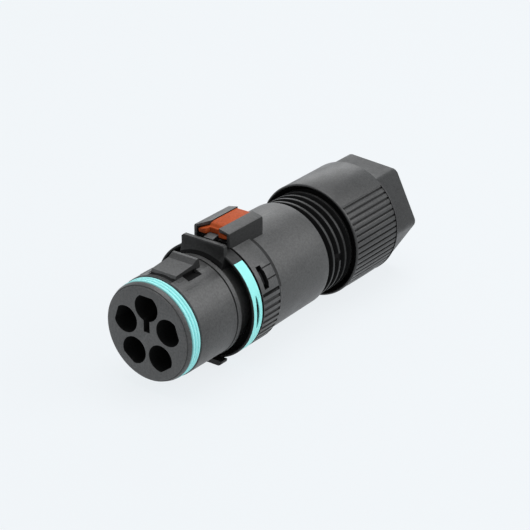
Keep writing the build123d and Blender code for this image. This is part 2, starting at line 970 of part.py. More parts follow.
# Terminal block behind the chambers, with a pocket for each clamp
pocket_half_width = clamp_width / 2 + clamp_gap
pocket_half_height = clamp_height / 2 + clamp_gap
with BuildPart() as terminal_block:
    revolve(
        outline([
            (block_front, 0),
            (block_front, skirt_radius - block_gap),
            (spigot_end + block_gap, skirt_radius - block_gap),
            (spigot_end + block_gap, block_radius),
            (block_rear, block_radius),
            (block_rear, 0),
        ]),
        axis=Axis.X,
    )
    for pole in range(poles):
        with BuildSketch(pole_plane(pole, block_front)):
            Circle(tail_radius + shank_gap)
        extrude(amount=clamp_front - block_front, mode=Mode.SUBTRACT)
        with BuildSketch(pole_plane(pole, clamp_front)):
            Rectangle(2 * pocket_half_height, 2 * pocket_half_width)
        extrude(amount=block_rear - clamp_front, mode=Mode.SUBTRACT)
        seat = pole_plane(pole, clamp_front + clamp_length / 2)
        with BuildSketch(Plane(origin=seat.origin, x_dir=(1, 0, 0), z_dir=seat.x_dir)):
            Circle(driver_hole)
        extrude(amount=block_radius, mode=Mode.SUBTRACT)
terminal_block.part.label = "terminal_block"
export_step(terminal_block.part, "parts/terminal_block.step")

# Socket contacts: a slit sleeve, a collar on the chamber floor, a shank and a tail
for pole in range(poles):
    with BuildPart() as socket_contact:
        for start, end, radius in (
            (contact_front, chamber_depth, contact_radius),
            (chamber_depth - collar_length, chamber_depth, collar_radius),
            (chamber_depth, block_front, shank_radius),
            (block_front, clamp_front, tail_radius),
            (clamp_front, clamp_front + pin_length, pin_radius),
        ):
            with BuildSketch(pole_plane(pole, start)):
                Circle(radius)
            extrude(amount=end - start)
        with BuildSketch(pole_plane(pole, contact_front)):
            Circle(contact_bore)
        extrude(amount=contact_bore_depth, mode=Mode.SUBTRACT)
        with BuildSketch(pole_plane(pole, contact_front)):
            Rectangle(2 * contact_radius + overcut, contact_slit)
            Rectangle(contact_slit, 2 * contact_radius + overcut)
        extrude(amount=contact_slit_length, mode=Mode.SUBTRACT)
    socket_contact.part.label = f"socket_contact_{pole + 1}"
    export_step(socket_contact.part, f"parts/socket_contact_{pole + 1}.step")

# Spring rings that close the slit sleeves of the contacts
with BuildPart() as contact_springs:
    for pole in range(poles):
        with BuildSketch(pole_plane(pole, contact_front + spring_ring_setback)):
            Circle(contact_radius + spring_ring_thickness)
            Circle(contact_radius, mode=Mode.SUBTRACT)
            with Locations((-contact_radius, 0)):
                Rectangle(2 * spring_ring_thickness + overcut, contact_slit, mode=Mode.SUBTRACT)
        extrude(amount=spring_ring_length)
contact_springs.part.label = "contact_springs"
export_step(contact_springs.part, "parts/contact_springs.step")

# Terminal clamps: a brass box for each wire, with a screw hole in its outer wall
for pole in range(poles):
    with BuildPart() as terminal_clamp:
        with BuildSketch(pole_plane(pole, clamp_front)):
            Rectangle(clamp_height, clamp_width)
            Circle(wire_hole, mode=Mode.SUBTRACT)
        extrude(amount=clamp_length)
        seat = pole_plane(pole, clamp_front + clamp_length / 2)
        with BuildSketch(Plane(origin=seat.origin, x_dir=(1, 0, 0), z_dir=seat.x_dir)):
            Circle(screw_radius + shank_gap)
        extrude(amount=clamp_height, mode=Mode.SUBTRACT)
    terminal_clamp.part.label = f"terminal_clamp_{pole + 1}"
    export_step(terminal_clamp.part, f"parts/terminal_clamp_{pole + 1}.step")

# Terminal screws: slotted heads that stand on the clamps
with BuildPart() as terminal_screws:
    for pole in range(poles):
        seat = pole_plane(pole, clamp_front + clamp_length / 2)
        head_base = clamp_height / 2 + clamp_gap / 2
        with BuildSketch(Plane(
            origin=seat.origin + seat.x_dir * (head_base + screw_head_length),
            x_dir=(1, 0, 0),
            z_dir=seat.x_dir,
        )):
            Circle(screw_head_radius)
        extrude(amount=-screw_head_length)
        with BuildSketch(Plane(
            origin=seat.origin + seat.x_dir * head_base,
            x_dir=(1, 0, 0),
            z_dir=seat.x_dir,
        )):
            Circle(screw_radius)
        extrude(amount=-screw_length)
        with BuildSketch(Plane(
            origin=seat.origin + seat.x_dir * (head_base + screw_head_length),
            x_dir=(1, 0, 0),
            z_dir=seat.x_dir,
        )):
            Rectangle(2 * screw_head_radius + overcut, screw_slot)
        extrude(amount=-screw_head_length / 2, mode=Mode.SUBTRACT)
terminal_screws.part.label = "terminal_screws"
export_step(terminal_screws.part, "parts/terminal_screws.step")

# Gland nut: ribbed collar, hexagon, internal thread and clamping cone
cone_end = nut_step + cone_length
rib_limit = 180 - panel_half_angle
rib_angles = []
rib_angle = panel_half_angle + rib_margin
while rib_angle < rib_limit:
    rib_angles += [hex_turn + rib_angle, hex_turn - rib_angle]
    rib_angle += rib_step
with BuildPart() as gland_nut:
    revolve(
        outline([
            (nut_front, 0),
            (nut_front, collar_outer - nut_edge_round),
            (nut_front + nut_edge_round * corner_share, collar_outer - nut_edge_round * corner_share),
            (nut_front + nut_edge_round, collar_outer),
            (collar_end - edge_break, collar_outer),
            (collar_end, collar_outer - edge_break),
            (collar_end, 0),
        ]),
        axis=Axis.X,
    )
    # Lowered zones at both sides carry the ribs, and smooth panels stay above and below
    for side in (0, 180):
        revolve(
            band(
                nut_front + rib_end_margin,
                collar_end - rib_end_margin,
                collar_outer - panel_depth,
                collar_outer + overcut,
                side + hex_turn + panel_half_angle,
            ),
            axis=Axis.X,
            revolution_arc=180 - 2 * panel_half_angle,
            mode=Mode.SUBTRACT,
        )
    extrude(
        bars(
            nut_front + rib_end_margin, rib_angles,
            collar_outer - panel_depth, rib_groove_width, rib_groove_depth,
        ),
        amount=collar_length_nut - 2 * rib_end_margin,
        mode=Mode.SUBTRACT,
    )
    with BuildSketch(Plane.YZ.offset(collar_end)) as hexagon:
        RegularPolygon(hex_across_flats / 2, 6, major_radius=False, rotation=hex_turn)
        fillet(hexagon.vertices(), radius=hex_corner_round)
    extrude(amount=hex_length)
    # Threaded bore, step, cone and cable hole
    revolve(
        outline([
            (nut_front, 0),
            (nut_front, nut_mouth_radius),
            (nut_front + nut_mouth_depth, nut_bore),
            (nut_step, nut_bore),
            (nut_step, cone_front_radius),
            (cone_end, cable_hole_radius),
            (nut_end - cable_hole_chamfer, cable_hole_radius),
            (nut_end, cable_hole_radius + cable_hole_chamfer),
            (nut_end, 0),
        ]),
        axis=Axis.X,
        mode=Mode.SUBTRACT,
    )
    rib, rib_path = thread_rib(
        nut_thread_front,
        nut_thread_turns,
        thread_core + nut_crest_clearance,
        nut_bore + thread_sink,
        crest_width,
        base_width,
    )
    sweep(sections=rib, path=rib_path, is_frenet=True)
gland_nut.part.label = "gland_nut"
export_step(gland_nut.part, "parts/gland_nut.step")

# Clamping cage: a guide tube in the sleeve's mouth, a thrust flange and fingers in the nut's cone
cone_slope = (cone_front_radius - cable_hole_radius) / cone_length
finger_root_radius = cone_front_radius - finger_clearance
finger_tip_radius = finger_root_radius - cone_slope * finger_length
with BuildPart() as clamp_cage:
    revolve(
        outline([
            (cage_front, cage_inner - cage_lip),
            (cage_front, cage_outer),
            (flange_front, cage_outer),
            (flange_front, cage_flange_radius),
            (flange_rear, cage_flange_radius),
            (flange_rear, finger_root_radius - cone_slope * cage_nut_gap),
            (finger_end, finger_tip_radius),
            (finger_end, finger_tip_radius - cage_lip),
            (flange_rear, cage_inner),
            (cage_front + cage_lip, cage_inner),
            (cage_front + cage_lip, cage_inner - cage_lip),
        ]),
        axis=Axis.X,
    )
    with BuildSketch(Plane.YZ.offset(flange_rear + cage_lip)):
        with PolarLocations(cage_inner, finger_count):
            Rectangle(2 * (cage_wall + overcut), finger_slot)
    extrude(amount=finger_length, mode=Mode.SUBTRACT)
clamp_cage.part.label = "clamp_cage"
export_step(clamp_cage.part, "parts/clamp_cage.step")

# Cable seal: a soft bush inside the cage with raised lips in its bore
seal_outer = cage_inner - cable_seal_gap
seal_front = cage_front + cage_lip + cable_seal_gap
seal_rear = flange_rear - cage_nut_gap
lip_spacing = (seal_rear - seal_front) / cable_seal_lips
with BuildPart() as cable_seal:
    revolve(
        band(seal_front, seal_rear, cable_seal_bore + cable_seal_lip_height, seal_outer),
        axis=Axis.X,
    )
    lip_root = cable_seal_bore + cable_seal_lip_height
    for index in range(cable_seal_lips):
        lip_x = seal_front + (index + 0.5) * lip_spacing
        revolve(
            outline([
                (lip_x - lip_spacing / 2, lip_root + cable_seal_lip_sink),
                (lip_x - lip_spacing / 2, lip_root),
                (lip_x - lip_spacing / 6, cable_seal_bore),
                (lip_x + lip_spacing / 6, cable_seal_bore),
                (lip_x + lip_spacing / 2, lip_root),
                (lip_x + lip_spacing / 2, lip_root + cable_seal_lip_sink),
            ]),
            axis=Axis.X,
        )
cable_seal.part.label = "cable_seal"
export_step(cable_seal.part, "parts/cable_seal.step")
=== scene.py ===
# %% [markdown]
# # A round power plug, dressed for its portrait
# The plug is a sealed power connector: a five-pole front with a teal seal, a coupling ring with a
# teal colour band, a sleeve with an orange release slider, and a ribbed gland nut at its rear.
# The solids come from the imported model. This notebook gives them soft moulded edges, a few small
# changes of shape, seals with a real lip, ribs that catch the light, finishes, lamps and a camera.

# %% Load the fixed frame
import json
import math

import bmesh
import bpy
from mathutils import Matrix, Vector


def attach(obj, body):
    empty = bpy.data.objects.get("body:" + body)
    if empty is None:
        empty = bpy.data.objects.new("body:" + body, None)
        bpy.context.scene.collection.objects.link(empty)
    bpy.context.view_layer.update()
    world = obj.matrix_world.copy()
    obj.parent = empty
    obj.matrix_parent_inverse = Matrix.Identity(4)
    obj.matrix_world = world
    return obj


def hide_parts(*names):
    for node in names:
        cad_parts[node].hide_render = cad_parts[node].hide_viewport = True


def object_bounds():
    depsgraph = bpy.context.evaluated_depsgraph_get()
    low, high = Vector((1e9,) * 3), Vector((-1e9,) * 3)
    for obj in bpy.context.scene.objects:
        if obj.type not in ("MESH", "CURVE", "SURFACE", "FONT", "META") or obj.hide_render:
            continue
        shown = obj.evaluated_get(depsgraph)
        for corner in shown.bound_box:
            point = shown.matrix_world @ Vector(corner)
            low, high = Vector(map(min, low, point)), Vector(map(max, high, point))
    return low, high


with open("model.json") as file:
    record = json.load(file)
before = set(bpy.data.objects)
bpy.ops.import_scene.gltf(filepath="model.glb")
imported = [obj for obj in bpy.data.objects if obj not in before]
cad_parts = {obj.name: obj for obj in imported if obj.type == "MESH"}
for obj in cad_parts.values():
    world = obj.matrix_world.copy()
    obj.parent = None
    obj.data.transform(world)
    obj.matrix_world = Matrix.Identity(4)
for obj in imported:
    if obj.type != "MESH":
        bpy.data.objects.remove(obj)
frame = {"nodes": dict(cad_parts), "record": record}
cad_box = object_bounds()
scene = bpy.context.scene
scene.view_settings.view_transform = "Standard"
MM = 0.001

# %% [markdown]
# ## The camera
# The photograph looks at the mating face from the front left and from above, through a long lens,
# so lines that run along the plug barely converge. A long lens on a far camera gives the same
# view. The place and the two angles were found by matching the outline of the plug.

# %% Camera with the photograph's view
camera_place = Vector((-391.4, -332.5, 265.1)) * MM
look_azimuth = math.radians(-53.46)
look_elevation = math.radians(25.38)
sensor = 36.0
picture_pixels = 530
lens_pixels = 2000

camera_data = bpy.data.cameras.new("long_lens")
camera_data.sensor_width = sensor
camera_data.lens = lens_pixels / picture_pixels * sensor
camera = bpy.data.objects.new("camera", camera_data)
camera.location = camera_place
looks_along = Vector((
    -math.cos(look_elevation) * math.sin(look_azimuth),
    math.cos(look_elevation) * math.cos(look_azimuth),
    -math.sin(look_elevation),
))
camera.rotation_euler = looks_along.to_track_quat("-Z", "Y").to_euler()
scene.collection.objects.link(camera)
scene.camera = camera
print("camera:", round(camera_data.lens, 1), "mm lens,", round(camera_place.length, 3), "m away")

# %% [markdown]
# ## Small helpers for materials
# A finish is a little tree of nodes. It could be built by hand, node by node and link by link. The
# helpers add a node with its settings and its inputs in one call, and start a material, so that
# each finish below reads as a short recipe.

# %% Node helpers
def feed(tree, node, inputs):
    """Gives a node its inputs: a socket is joined, and a plain value is set."""
    for key, value in inputs.items():
        if isinstance(value, bpy.types.NodeSocket):
            tree.links.new(value, node.inputs[key])
        else:
            node.inputs[key].default_value = value


def add_node(tree, kind, inputs=None, **settings):
    node = tree.nodes.new(kind)
    for key, value in settings.items():
        setattr(node, key, value)
    feed(tree, node, inputs or {})
    return node


def calculate(tree, operation, *values):
    """A Math node whose inputs are sockets or plain numbers."""
    return add_node(tree, "ShaderNodeMath", dict(enumerate(values)), operation=operation).outputs[0]


def start_material(name, colour, roughness, metallic=0.0, specular=0.5):
    material = bpy.data.materials.new(name)
    material.use_nodes = True
    shader = material.node_tree.nodes["Principled BSDF"]
    feed(material.node_tree, shader, {
        "Base Color": (*colour, 1.0),
        "Roughness": roughness,
        "Metallic": metallic,
        "Specular IOR Level": specular,
    })
    return material, material.node_tree, shader


print("helpers: feed, add_node, calculate and start_material")

# %% [markdown]
# ## Noise, the raw stuff of a finish
# Real surfaces are never even, and a noise texture is the plainest way to say so. It is read in
# the piece's own metres, so that it stays on the piece. Most of its values lie between 0.3 and
# 0.7, so that range is what gets stretched over two colours or two gloss levels. A bump takes the
# noise as it is, with the grain's real height.

# %% Noise helpers
noise_low = 0.3
noise_high = 0.7


def object_noise(tree, scale, detail=3.0, roughness=0.55):
    """Noise in the piece's own metres: scale is how many grains fit in a metre."""
    place = add_node(tree, "ShaderNodeTexCoord").outputs["Object"]
    return add_node(tree, "ShaderNodeTexNoise", {
        "Vector": place, "Scale": scale, "Detail": detail, "Roughness": roughness,
    }).outputs["Fac"]


def spread(tree, source, low, high):
    """Turns a noise value into a narrow range, such as a roughness that wanders a little."""
    return add_node(tree, "ShaderNodeMapRange", {
        "Value": source, "From Min": noise_low, "From Max": noise_high, "To Min": low, "To Max": high,
    }).outputs["Result"]


def tint(tree, source, dark, light):
    """Mixes two close colours by a noise value."""
    ramp = add_node(tree, "ShaderNodeValToRGB", {"Fac": source})
    ends = ramp.color_ramp.elements
    ends[0].position, ends[1].position = noise_low, noise_high
    ends[0].color, ends[1].color = (*dark, 1.0), (*light, 1.0)
    return ramp.outputs["Color"]


def raise_grain(tree, shader, source, height, strength):
    """Bump from a noise value. height is the real height of the grain in metres."""
    bump = add_node(tree, "ShaderNodeBump", {
        "Height": source, "Distance": height, "Strength": strength,
    })
    feed(tree, shader, {"Normal": bump.outputs["Normal"]})


def shade(colour, factor):
    return tuple(channel * factor for channel in colour)


print("noise from", noise_low, "to", noise_high, "is stretched over each finish")

# %% [markdown]
# ## Moulded plastic
# The body is glass-filled polyamide from a spark-eroded mould. Such a surface is never flat: it
# has a fine grain of a few tenths of a millimetre, faint clouds where the melt flowed, and a
# gloss that wanders with them. It could be one plain grey, but then the long body looks like
# paint. Noise at three scales gives the grain, the clouds and the flecks. On near-black plastic
# most of what the eye sees is sheen, so the flecks go into the sheen as well as into the colour.

# %% Recipe for moulded plastic
grain_per_metre = 3200
fleck_per_metre = 1500
cloud_per_metre = 110
fleck_share = 0.2
gloss_wander = 0.08
grain_height = 0.12 * MM


def moulded_plastic(name, colour, roughness, grain=0.3, variation=0.25, specular=0.5):
    material, tree, shader = start_material(name, colour, roughness, specular=specular)
    grains = object_noise(tree, grain_per_metre, detail=4.0, roughness=0.65)
    clouds = object_noise(tree, cloud_per_metre, detail=5.0, roughness=0.6)
    flecks = object_noise(tree, fleck_per_metre, detail=3.0, roughness=0.7)
    faint, strong = 1 - fleck_share, 1 + fleck_share
    mixed = add_node(tree, "ShaderNodeMix", {
        "Factor": 1.0,
        "A": tint(tree, clouds, shade(colour, 1 - variation), shade(colour, 1 + variation)),
        "B": tint(tree, flecks, (faint,) * 3, (strong,) * 3),
    }, data_type="RGBA", blend_type="MULTIPLY")
    feed(tree, shader, {
        "Base Color": mixed.outputs["Result"],
        "Roughness": spread(tree, clouds, roughness - gloss_wander, roughness + gloss_wander),
        "Specular IOR Level": spread(tree, flecks, specular * faint, specular * strong),
    })
    raise_grain(tree, shader, grains, grain_height, grain)
    return material


print("one grain of the plastic is", round(1000 / grain_per_metre, 2), "mm wide")

# %% [markdown]
# ## The plug's plastics
# All mouldings but the slider are dark grey, and yet each has its own depth and gloss. One grey for
# all would lose the steps between them, so every moulding has a recipe of its own. The insert's grey
# is set lighter, as painted light on its front face, which no lamp lights, and the ring's grey is set
# darker, as painted shade round its grip plate. Three more are shared by all of them: satin for
# crests and facets, darker, so that it also paints shade on some facets and the floors of flutes; a
# dull darker one that paints half shade on walls, grooves and lines; and deep shade, painted near
# black in hollows.

# %% Plastics by name
housing_grey = (0.034, 0.0335, 0.033)
barrel_grey = (0.036, 0.0355, 0.035)
# The insert's grey is set lighter: painted light on its front face, which no lamp lights.
insert_grey_and_painted_light = (0.072, 0.071, 0.07)
# The ring's grey is set darker: painted shade round its grip plate and the hollow before it.
ring_grey_and_painted_shade = (0.0105, 0.0103, 0.01)
nut_grey = (0.015, 0.0147, 0.0144)
# Satin: a darker, glossier grey for crests, the hexagon and the ring's lands, which also paints shade
# on the latch block's kick facet and the floors of the flutes.
satin_and_shade_grey = (0.008, 0.0078, 0.0076)
# Painted half shade: a dull, darker grey for walls, grooves and lines where shade falls.
half_shade_grey = (0.012, 0.0118, 0.0116)
block_grey = (0.09, 0.09, 0.092)
slider_orange = (0.4, 0.068, 0.015)
# Painted deep shade: near black for hollows, gaps and narrow places.
shade_black = (0.008, 0.008, 0.008)

grained_housing = moulded_plastic("grained_housing", housing_grey, roughness=0.44, specular=0.62)
grained_barrel = moulded_plastic("grained_barrel", barrel_grey, roughness=0.42, specular=0.6)
grained_insert_painted_light = moulded_plastic("grained_insert_painted_light", insert_grey_and_painted_light, roughness=0.5, specular=0.6)
grained_ring_painted_shade = moulded_plastic("grained_ring_painted_shade", ring_grey_and_painted_shade, roughness=0.5, specular=0.25)
grained_nut = moulded_plastic("grained_nut", nut_grey, roughness=0.38, specular=0.55)
grained_satin_and_shade = moulded_plastic("grained_satin_and_shade", satin_and_shade_grey, roughness=0.42, specular=0.36)
grained_half_shade = moulded_plastic("grained_half_shade", half_shade_grey, roughness=0.6, specular=0.22)
grained_block = moulded_plastic("grained_block", block_grey, roughness=0.5)
grained_slider = moulded_plastic(
    "grained_slider", slider_orange, roughness=0.6, grain=0.2, variation=0.12, specular=0.16
)
deep_shade = moulded_plastic(
    "deep_shade", shade_black, roughness=0.8, grain=0.1, variation=0.1, specular=0.06
)
print("plastics:", [m.name for m in bpy.data.materials if m.name.startswith("grained")])

# %% [markdown]
# ## Silicone
# The seals are silicone: smooth, slightly waxy and evenly coloured, with dust-fine grain. The
# colour band is a harder plastic in the same teal. A flat colour would look like paint here too,
# so a fine noise stands for the dust and a broad one for the wax.

# %% Recipe for silicone
dust_per_metre = 5200
wax_per_metre = 160
wax_dark = 0.94
wax_light = 1.04
dust_smooth = 0.04
dust_rough = 0.06
dust_height = 0.04 * MM
dust_strength = 0.15
waxy_sheen = 0.4
seal_teal = (0.34, 0.83, 0.82)
band_teal = (0.31, 0.87, 0.83)
seal_black = (0.02, 0.02, 0.021)


def silicone(name, colour, roughness):
    material, tree, shader = start_material(name, colour, roughness, specular=waxy_sheen)
    dust = object_noise(tree, dust_per_metre, detail=2.0)
    wax = object_noise(tree, wax_per_metre)
    feed(tree, shader, {
        "Base Color": tint(tree, wax, shade(colour, wax_dark), shade(colour, wax_light)),
        "Roughness": spread(tree, dust, roughness - dust_smooth, roughness + dust_rough),
    })
    raise_grain(tree, shader, dust, dust_height, dust_strength)
    return material


teal_silicone = silicone("teal_silicone", seal_teal, roughness=0.5)
teal_band = silicone("teal_band", band_teal, roughness=0.42)
black_silicone = silicone("black_silicone", seal_black, roughness=0.62)
print("soft finishes:", teal_silicone.name, teal_band.name, black_silicone.name)

# %% [markdown]
# ## Machined metal
# Inside, the contacts are silver-plated, the clamps are brass and the screws and spring rings are
# steel. All are turned or bent from bright stock, so noise makes their scratches and a wave along
# the plug makes the marks of the lathe tool.

# %% Recipe for machined metal
scratch_per_metre = 900
scratch_dark = 0.85
scratch_smooth = 0.08
scratch_rough = 0.12
turning_scale = 1400
turning_wander = 0.6
turning_height = 0.02 * MM
turning_strength = 0.2
plated_silver = (0.78, 0.76, 0.72)
bare_brass = (0.74, 0.53, 0.24)
bare_steel = (0.58, 0.58, 0.6)


def machined_metal(name, colour, roughness):
    material, tree, shader = start_material(name, colour, roughness, metallic=1.0)
    scratches = object_noise(tree, scratch_per_metre, detail=6.0, roughness=0.7)
    feed(tree, shader, {
        "Base Color": tint(tree, scratches, shade(colour, scratch_dark), colour),
        "Roughness": spread(
            tree, scratches, roughness - scratch_smooth, roughness + scratch_rough
        ),
    })
    turning = add_node(tree, "ShaderNodeTexWave", {
        "Vector": add_node(tree, "ShaderNodeTexCoord").outputs["Object"],
        "Scale": turning_scale,
        "Distortion": turning_wander,
    }, wave_type="BANDS", bands_direction="X")
    raise_grain(tree, shader, turning.outputs["Fac"], turning_height, turning_strength)
    return material


silver_plating = machined_metal("silver_plating", plated_silver, roughness=0.3)
clamp_brass = machined_metal("clamp_brass", bare_brass, roughness=0.34)
screw_steel = machined_metal("screw_steel", bare_steel, roughness=0.33)
print("materials:", len(bpy.data.materials))

# %% [markdown]
# ## Softened edges
# No moulded edge is knife sharp: a radius of a tenth of a millimetre catches the light as a thin
# bright line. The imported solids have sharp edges. A bevel in the CAD would make them slow and
# fragile, and a bevel shader only bends the light, so each visible plastic piece is shown by a
# copy: its loose triangles are merged, flat facets are joined, and only the sharp edges get a
# narrow bevel in bmesh. The copy then stands for its solid.

# %% Merge, join and bevel a copy of a solid
same_place = 0.002 * MM
flat_angle = math.radians(0.6)
sharp_angle = math.radians(32)
edge_width = 0.1 * MM


def merged_copy(*nodes):
    mesh = bmesh.new()
    for node in nodes:
        mesh.from_mesh(frame["nodes"][node].data)
    bmesh.ops.remove_doubles(mesh, verts=mesh.verts, dist=same_place)
    return mesh


def join_flat_faces(mesh):
    bmesh.ops.dissolve_limit(mesh, angle_limit=flat_angle, verts=mesh.verts, edges=mesh.edges)


def soften_edges(mesh, width):
    edges = [
        edge for edge in mesh.edges
        if len(edge.link_faces) == 2 and edge.calc_face_angle() > sharp_angle
    ]
    bmesh.ops.bevel(
        mesh, geom=edges, offset=width, offset_type="OFFSET", segments=2, profile=0.5,
        affect="EDGES", clamp_overlap=True, loop_slide=True,
    )
    return len(edges)


print("moulded edges are rounded over", edge_width / MM, "mm")

# %% [markdown]
# ## Finishes by place
# One moulding shows more than one finish, and painted shade besides. Its outside is grained, crests
# and small facets are satin, and the satin copy is darker, so that it also paints shade on some
# facets and the floors of flutes. Walls, grooves and lines where shade falls get a dull, darker copy
# that paints half shade, and a bore or the root of a thread gets near-black painted deep shade,
# because no light finds its way there. The finishes could be painted by hand. Here each face takes
# its finish from its place on the plug and from the way it faces, so the rule still holds when the
# mesh changes. Places are in millimetres, and a hair is how far a point may lie off its place. A face
# is square on to an axis, or slanted to it, from that share of its normal along the axis.

# %% Show a copy in place of its solid
# Finish slots: grained, painted half shade, painted deep shade, and satin, which also paints some
# shade.
GRAINED, HALF_SHADE, DEEP_SHADE, SATIN_AND_SHADE = range(4)
crease_angle = math.radians(15)
hair = 0.05
square_on = 0.8
slanted = 0.3


def station(point):
    """Place along the plug, radius and angle from the top towards the camera's side, in mm."""
    radius = math.hypot(point.y, point.z) / MM
    return point.x / MM, radius, math.degrees(math.atan2(-point.y, point.z))


def show_piece(name, mesh, material, body, finish_of=None):
    data = bpy.data.meshes.new(name)
    if finish_of:
        for face in mesh.faces:
            face.material_index = finish_of(*station(face.calc_center_median()), face.normal)
    bmesh.ops.triangulate(mesh, faces=mesh.faces)
    mesh.to_mesh(data)
    mesh.free()
    for finish in (material, grained_half_shade, deep_shade, grained_satin_and_shade):
        data.materials.append(finish)
    data.shade_smooth()
    data.set_sharp_from_angle(angle=crease_angle)
    piece = bpy.data.objects.new(name, data)
    scene.collection.objects.link(piece)
    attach(piece, body)
    return piece


def body_of_node(node):
    return next(b for b, nodes in frame["record"]["behaviour"]["bodies"].items() if node in nodes)


def softened_piece(name, node, material, finish_of=None, reshape=None, width=edge_width):
    mesh = merged_copy(node)
    join_flat_faces(mesh)
    if reshape:
        reshape(mesh)
    count = soften_edges(mesh, width)
    piece = show_piece(name, mesh, material, body_of_node(node), finish_of)
    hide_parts(node)
    print(name, "softened", count, "edges,", len(piece.data.polygons), "triangles")


print("square on from a share of", square_on, "and slanted from", slanted, "of the normal")

# %% [markdown]
# ## Cuts and the latch block
# On the real barrel the latch block stands in its own shade, and its rear end has a raised lip.
# A finish can only start at an edge of the mesh, so planes cut the barrel's skin where the shade
# starts. The lip is a cut across the block's top whose new points are lifted. Both could be new
# solids, but a cut keeps the mesh closed and costs a few faces.

# %% Shape the latch block
barrel_radius = 15.87
block_front = 8.0
block_half_width = 4.55
block_kick = 16.0
block_lip = 17.8
block_end = 18.75
block_angle = 25
block_top = barrel_radius + 1.0
lip_radius = barrel_radius + 2.3
shade_rear = 6.7
skin_before_block = 7.5
skin_inside = 15.6


def cut(mesh, faces, place, normal):
    """Cuts some of a mesh's faces by a plane, so that a finish can start there."""
    edges = {edge for face in faces for edge in face.edges}
    verts = {vert for face in faces for vert in face.verts}
    bmesh.ops.bisect_plane(
        mesh, geom=list(faces) + list(edges) + list(verts), dist=same_place,
        plane_co=Vector(place) * MM, plane_no=normal,
    )


def shape_latch_block(mesh):
    """Cuts the barrel's skin where the block's shade starts, and lifts the block's rear lip."""
    def near_block(face):
        spots = [station(vert.co) for vert in face.verts]
        on_skin = all(radius > skin_inside and abs(angle) < block_angle for x, radius, angle in spots)
        return on_skin and min(x for x, radius, angle in spots) < skin_before_block

    def on_top(face):
        return face.normal.z > slanted and all(
            block_kick < vert.co.x / MM < block_end + hair and vert.co.z / MM > block_top
            for vert in face.verts
        )

    for place, normal in (
        ((0, block_half_width, 0), (0, 1, 0)),
        ((0, -block_half_width, 0), (0, 1, 0)),
        ((shade_rear, 0, 0), (1, 0, 0)),
    ):
        cut(mesh, [face for face in mesh.faces if near_block(face)], place, normal)
    cut(mesh, [face for face in mesh.faces if on_top(face)], (block_lip, 0, 0), (1, 0, 0))
    lifted = [
        vert for vert in mesh.verts
        if abs(vert.co.x / MM - block_lip) < hair and vert.co.z / MM > block_top
    ]
    for vert in lifted:
        vert.co.z = lip_radius * MM
    print("latch block: points lifted to the lip", len(lifted))


print("latch block from", block_front, "to", block_end, "mm")

# %% [markdown]
# ## The barrel
# The barrel is the dark tube that goes into the socket. Its outside is grained like the sleeve.
# The block's walls and the skin before it get painted half shade, darkening to painted deep shade
# right before the block, the small facet before the lip gets the satin copy as painted shade, and the
# pockets beside the block get painted deep shade. A finish by place needs no second mesh.

# %% Barrel
pocket_front = 11.2
pocket_rear = 17.7
pocket_near = 3.6
pocket_far = 6.9
pocket_depth = 0.4
block_margin = 0.3
block_front_share = 0.7
shade_front = 5.8


def barrel_finish(x, radius, angle, normal):
    side = abs(radius * math.sin(math.radians(angle)))
    over_pocket = pocket_front < x < pocket_rear and pocket_near < side < pocket_far
    in_pocket = over_pocket and radius < barrel_radius - pocket_depth
    on_block = radius > barrel_radius + hair and side < block_half_width + block_margin
    is_wall = abs(normal.y) > square_on or normal.x < -block_front_share
    before_block = shade_front < x < block_front and side < block_half_width
    in_shade = before_block and radius > skin_inside
    on_kick = on_block and block_kick < x < block_lip and normal.x < -slanted
    # Painted deep shade in the pockets and right before the block.
    if in_pocket or (in_shade and x > shade_rear):
        return DEEP_SHADE
    # The facet before the lip gets the satin copy as painted shade.
    if on_kick:
        return SATIN_AND_SHADE
    # Painted half shade on the block's walls and on the skin before it.
    return HALF_SHADE if (on_block and is_wall) or in_shade else GRAINED


softened_piece(
    "barrel", "front_barrel", grained_barrel, barrel_finish, shape_latch_block
)

# %% [markdown]
# ## The coupling ring
# The ring joins the barrel to the sleeve and carries the grip plate and the colour band. Its own grey
# is set darker, as painted shade round the plate. The foot of the hollow before the plate, the groove
# under the band and the spigot behind the plate lie in shade. Lamps alone don't make such narrow
# places dark enough, so they get the near-black finish, painted deep shade. The two lands beside the
# band are satin.

# %% Coupling ring
plate_front = 26.3
scoop_limit = 16.9
plate_rear = 28.5
spigot_limit = 17.0
groove_front = 27.3
band_groove = 18.1
ring_skin = 18.3


def ring_finish(x, radius, angle, normal):
    under_scoop = x < plate_front and radius < scoop_limit
    behind_plate = x > plate_rear and radius < spigot_limit
    under_band = x > groove_front and radius < band_groove
    # Painted deep shade under the scoop, behind the plate and under the band.
    if under_scoop or behind_plate or under_band:
        return DEEP_SHADE
    # The lands beside the band get the satin copy instead of the ring's painted shade.
    return SATIN_AND_SHADE if x > groove_front and radius > ring_skin else GRAINED


softened_piece("ring", "coupling_ring", grained_ring_painted_shade, ring_finish)

# %% [markdown]
# ## Two more flutes at each side
# The sleeve is the long moulding with the knurl, the window, the slider's housing and the thread.
# On the real one two more flutes of the knurl stand next to the window at each side. They could be
# cut with a boolean, which is slow and leaves ragged faces. Instead planes cut the skin round each
# flute and its floor is pushed inwards, so the mesh stays closed.

# %% Flutes of the knurl
knurl_radius = 18.3
skin_depth = 0.06
flute_reach = 8
flute_half_angle = 1.72
flute_front = 32.4
flute_depth = 0.3
extra_flutes = (76.2, 83.1)


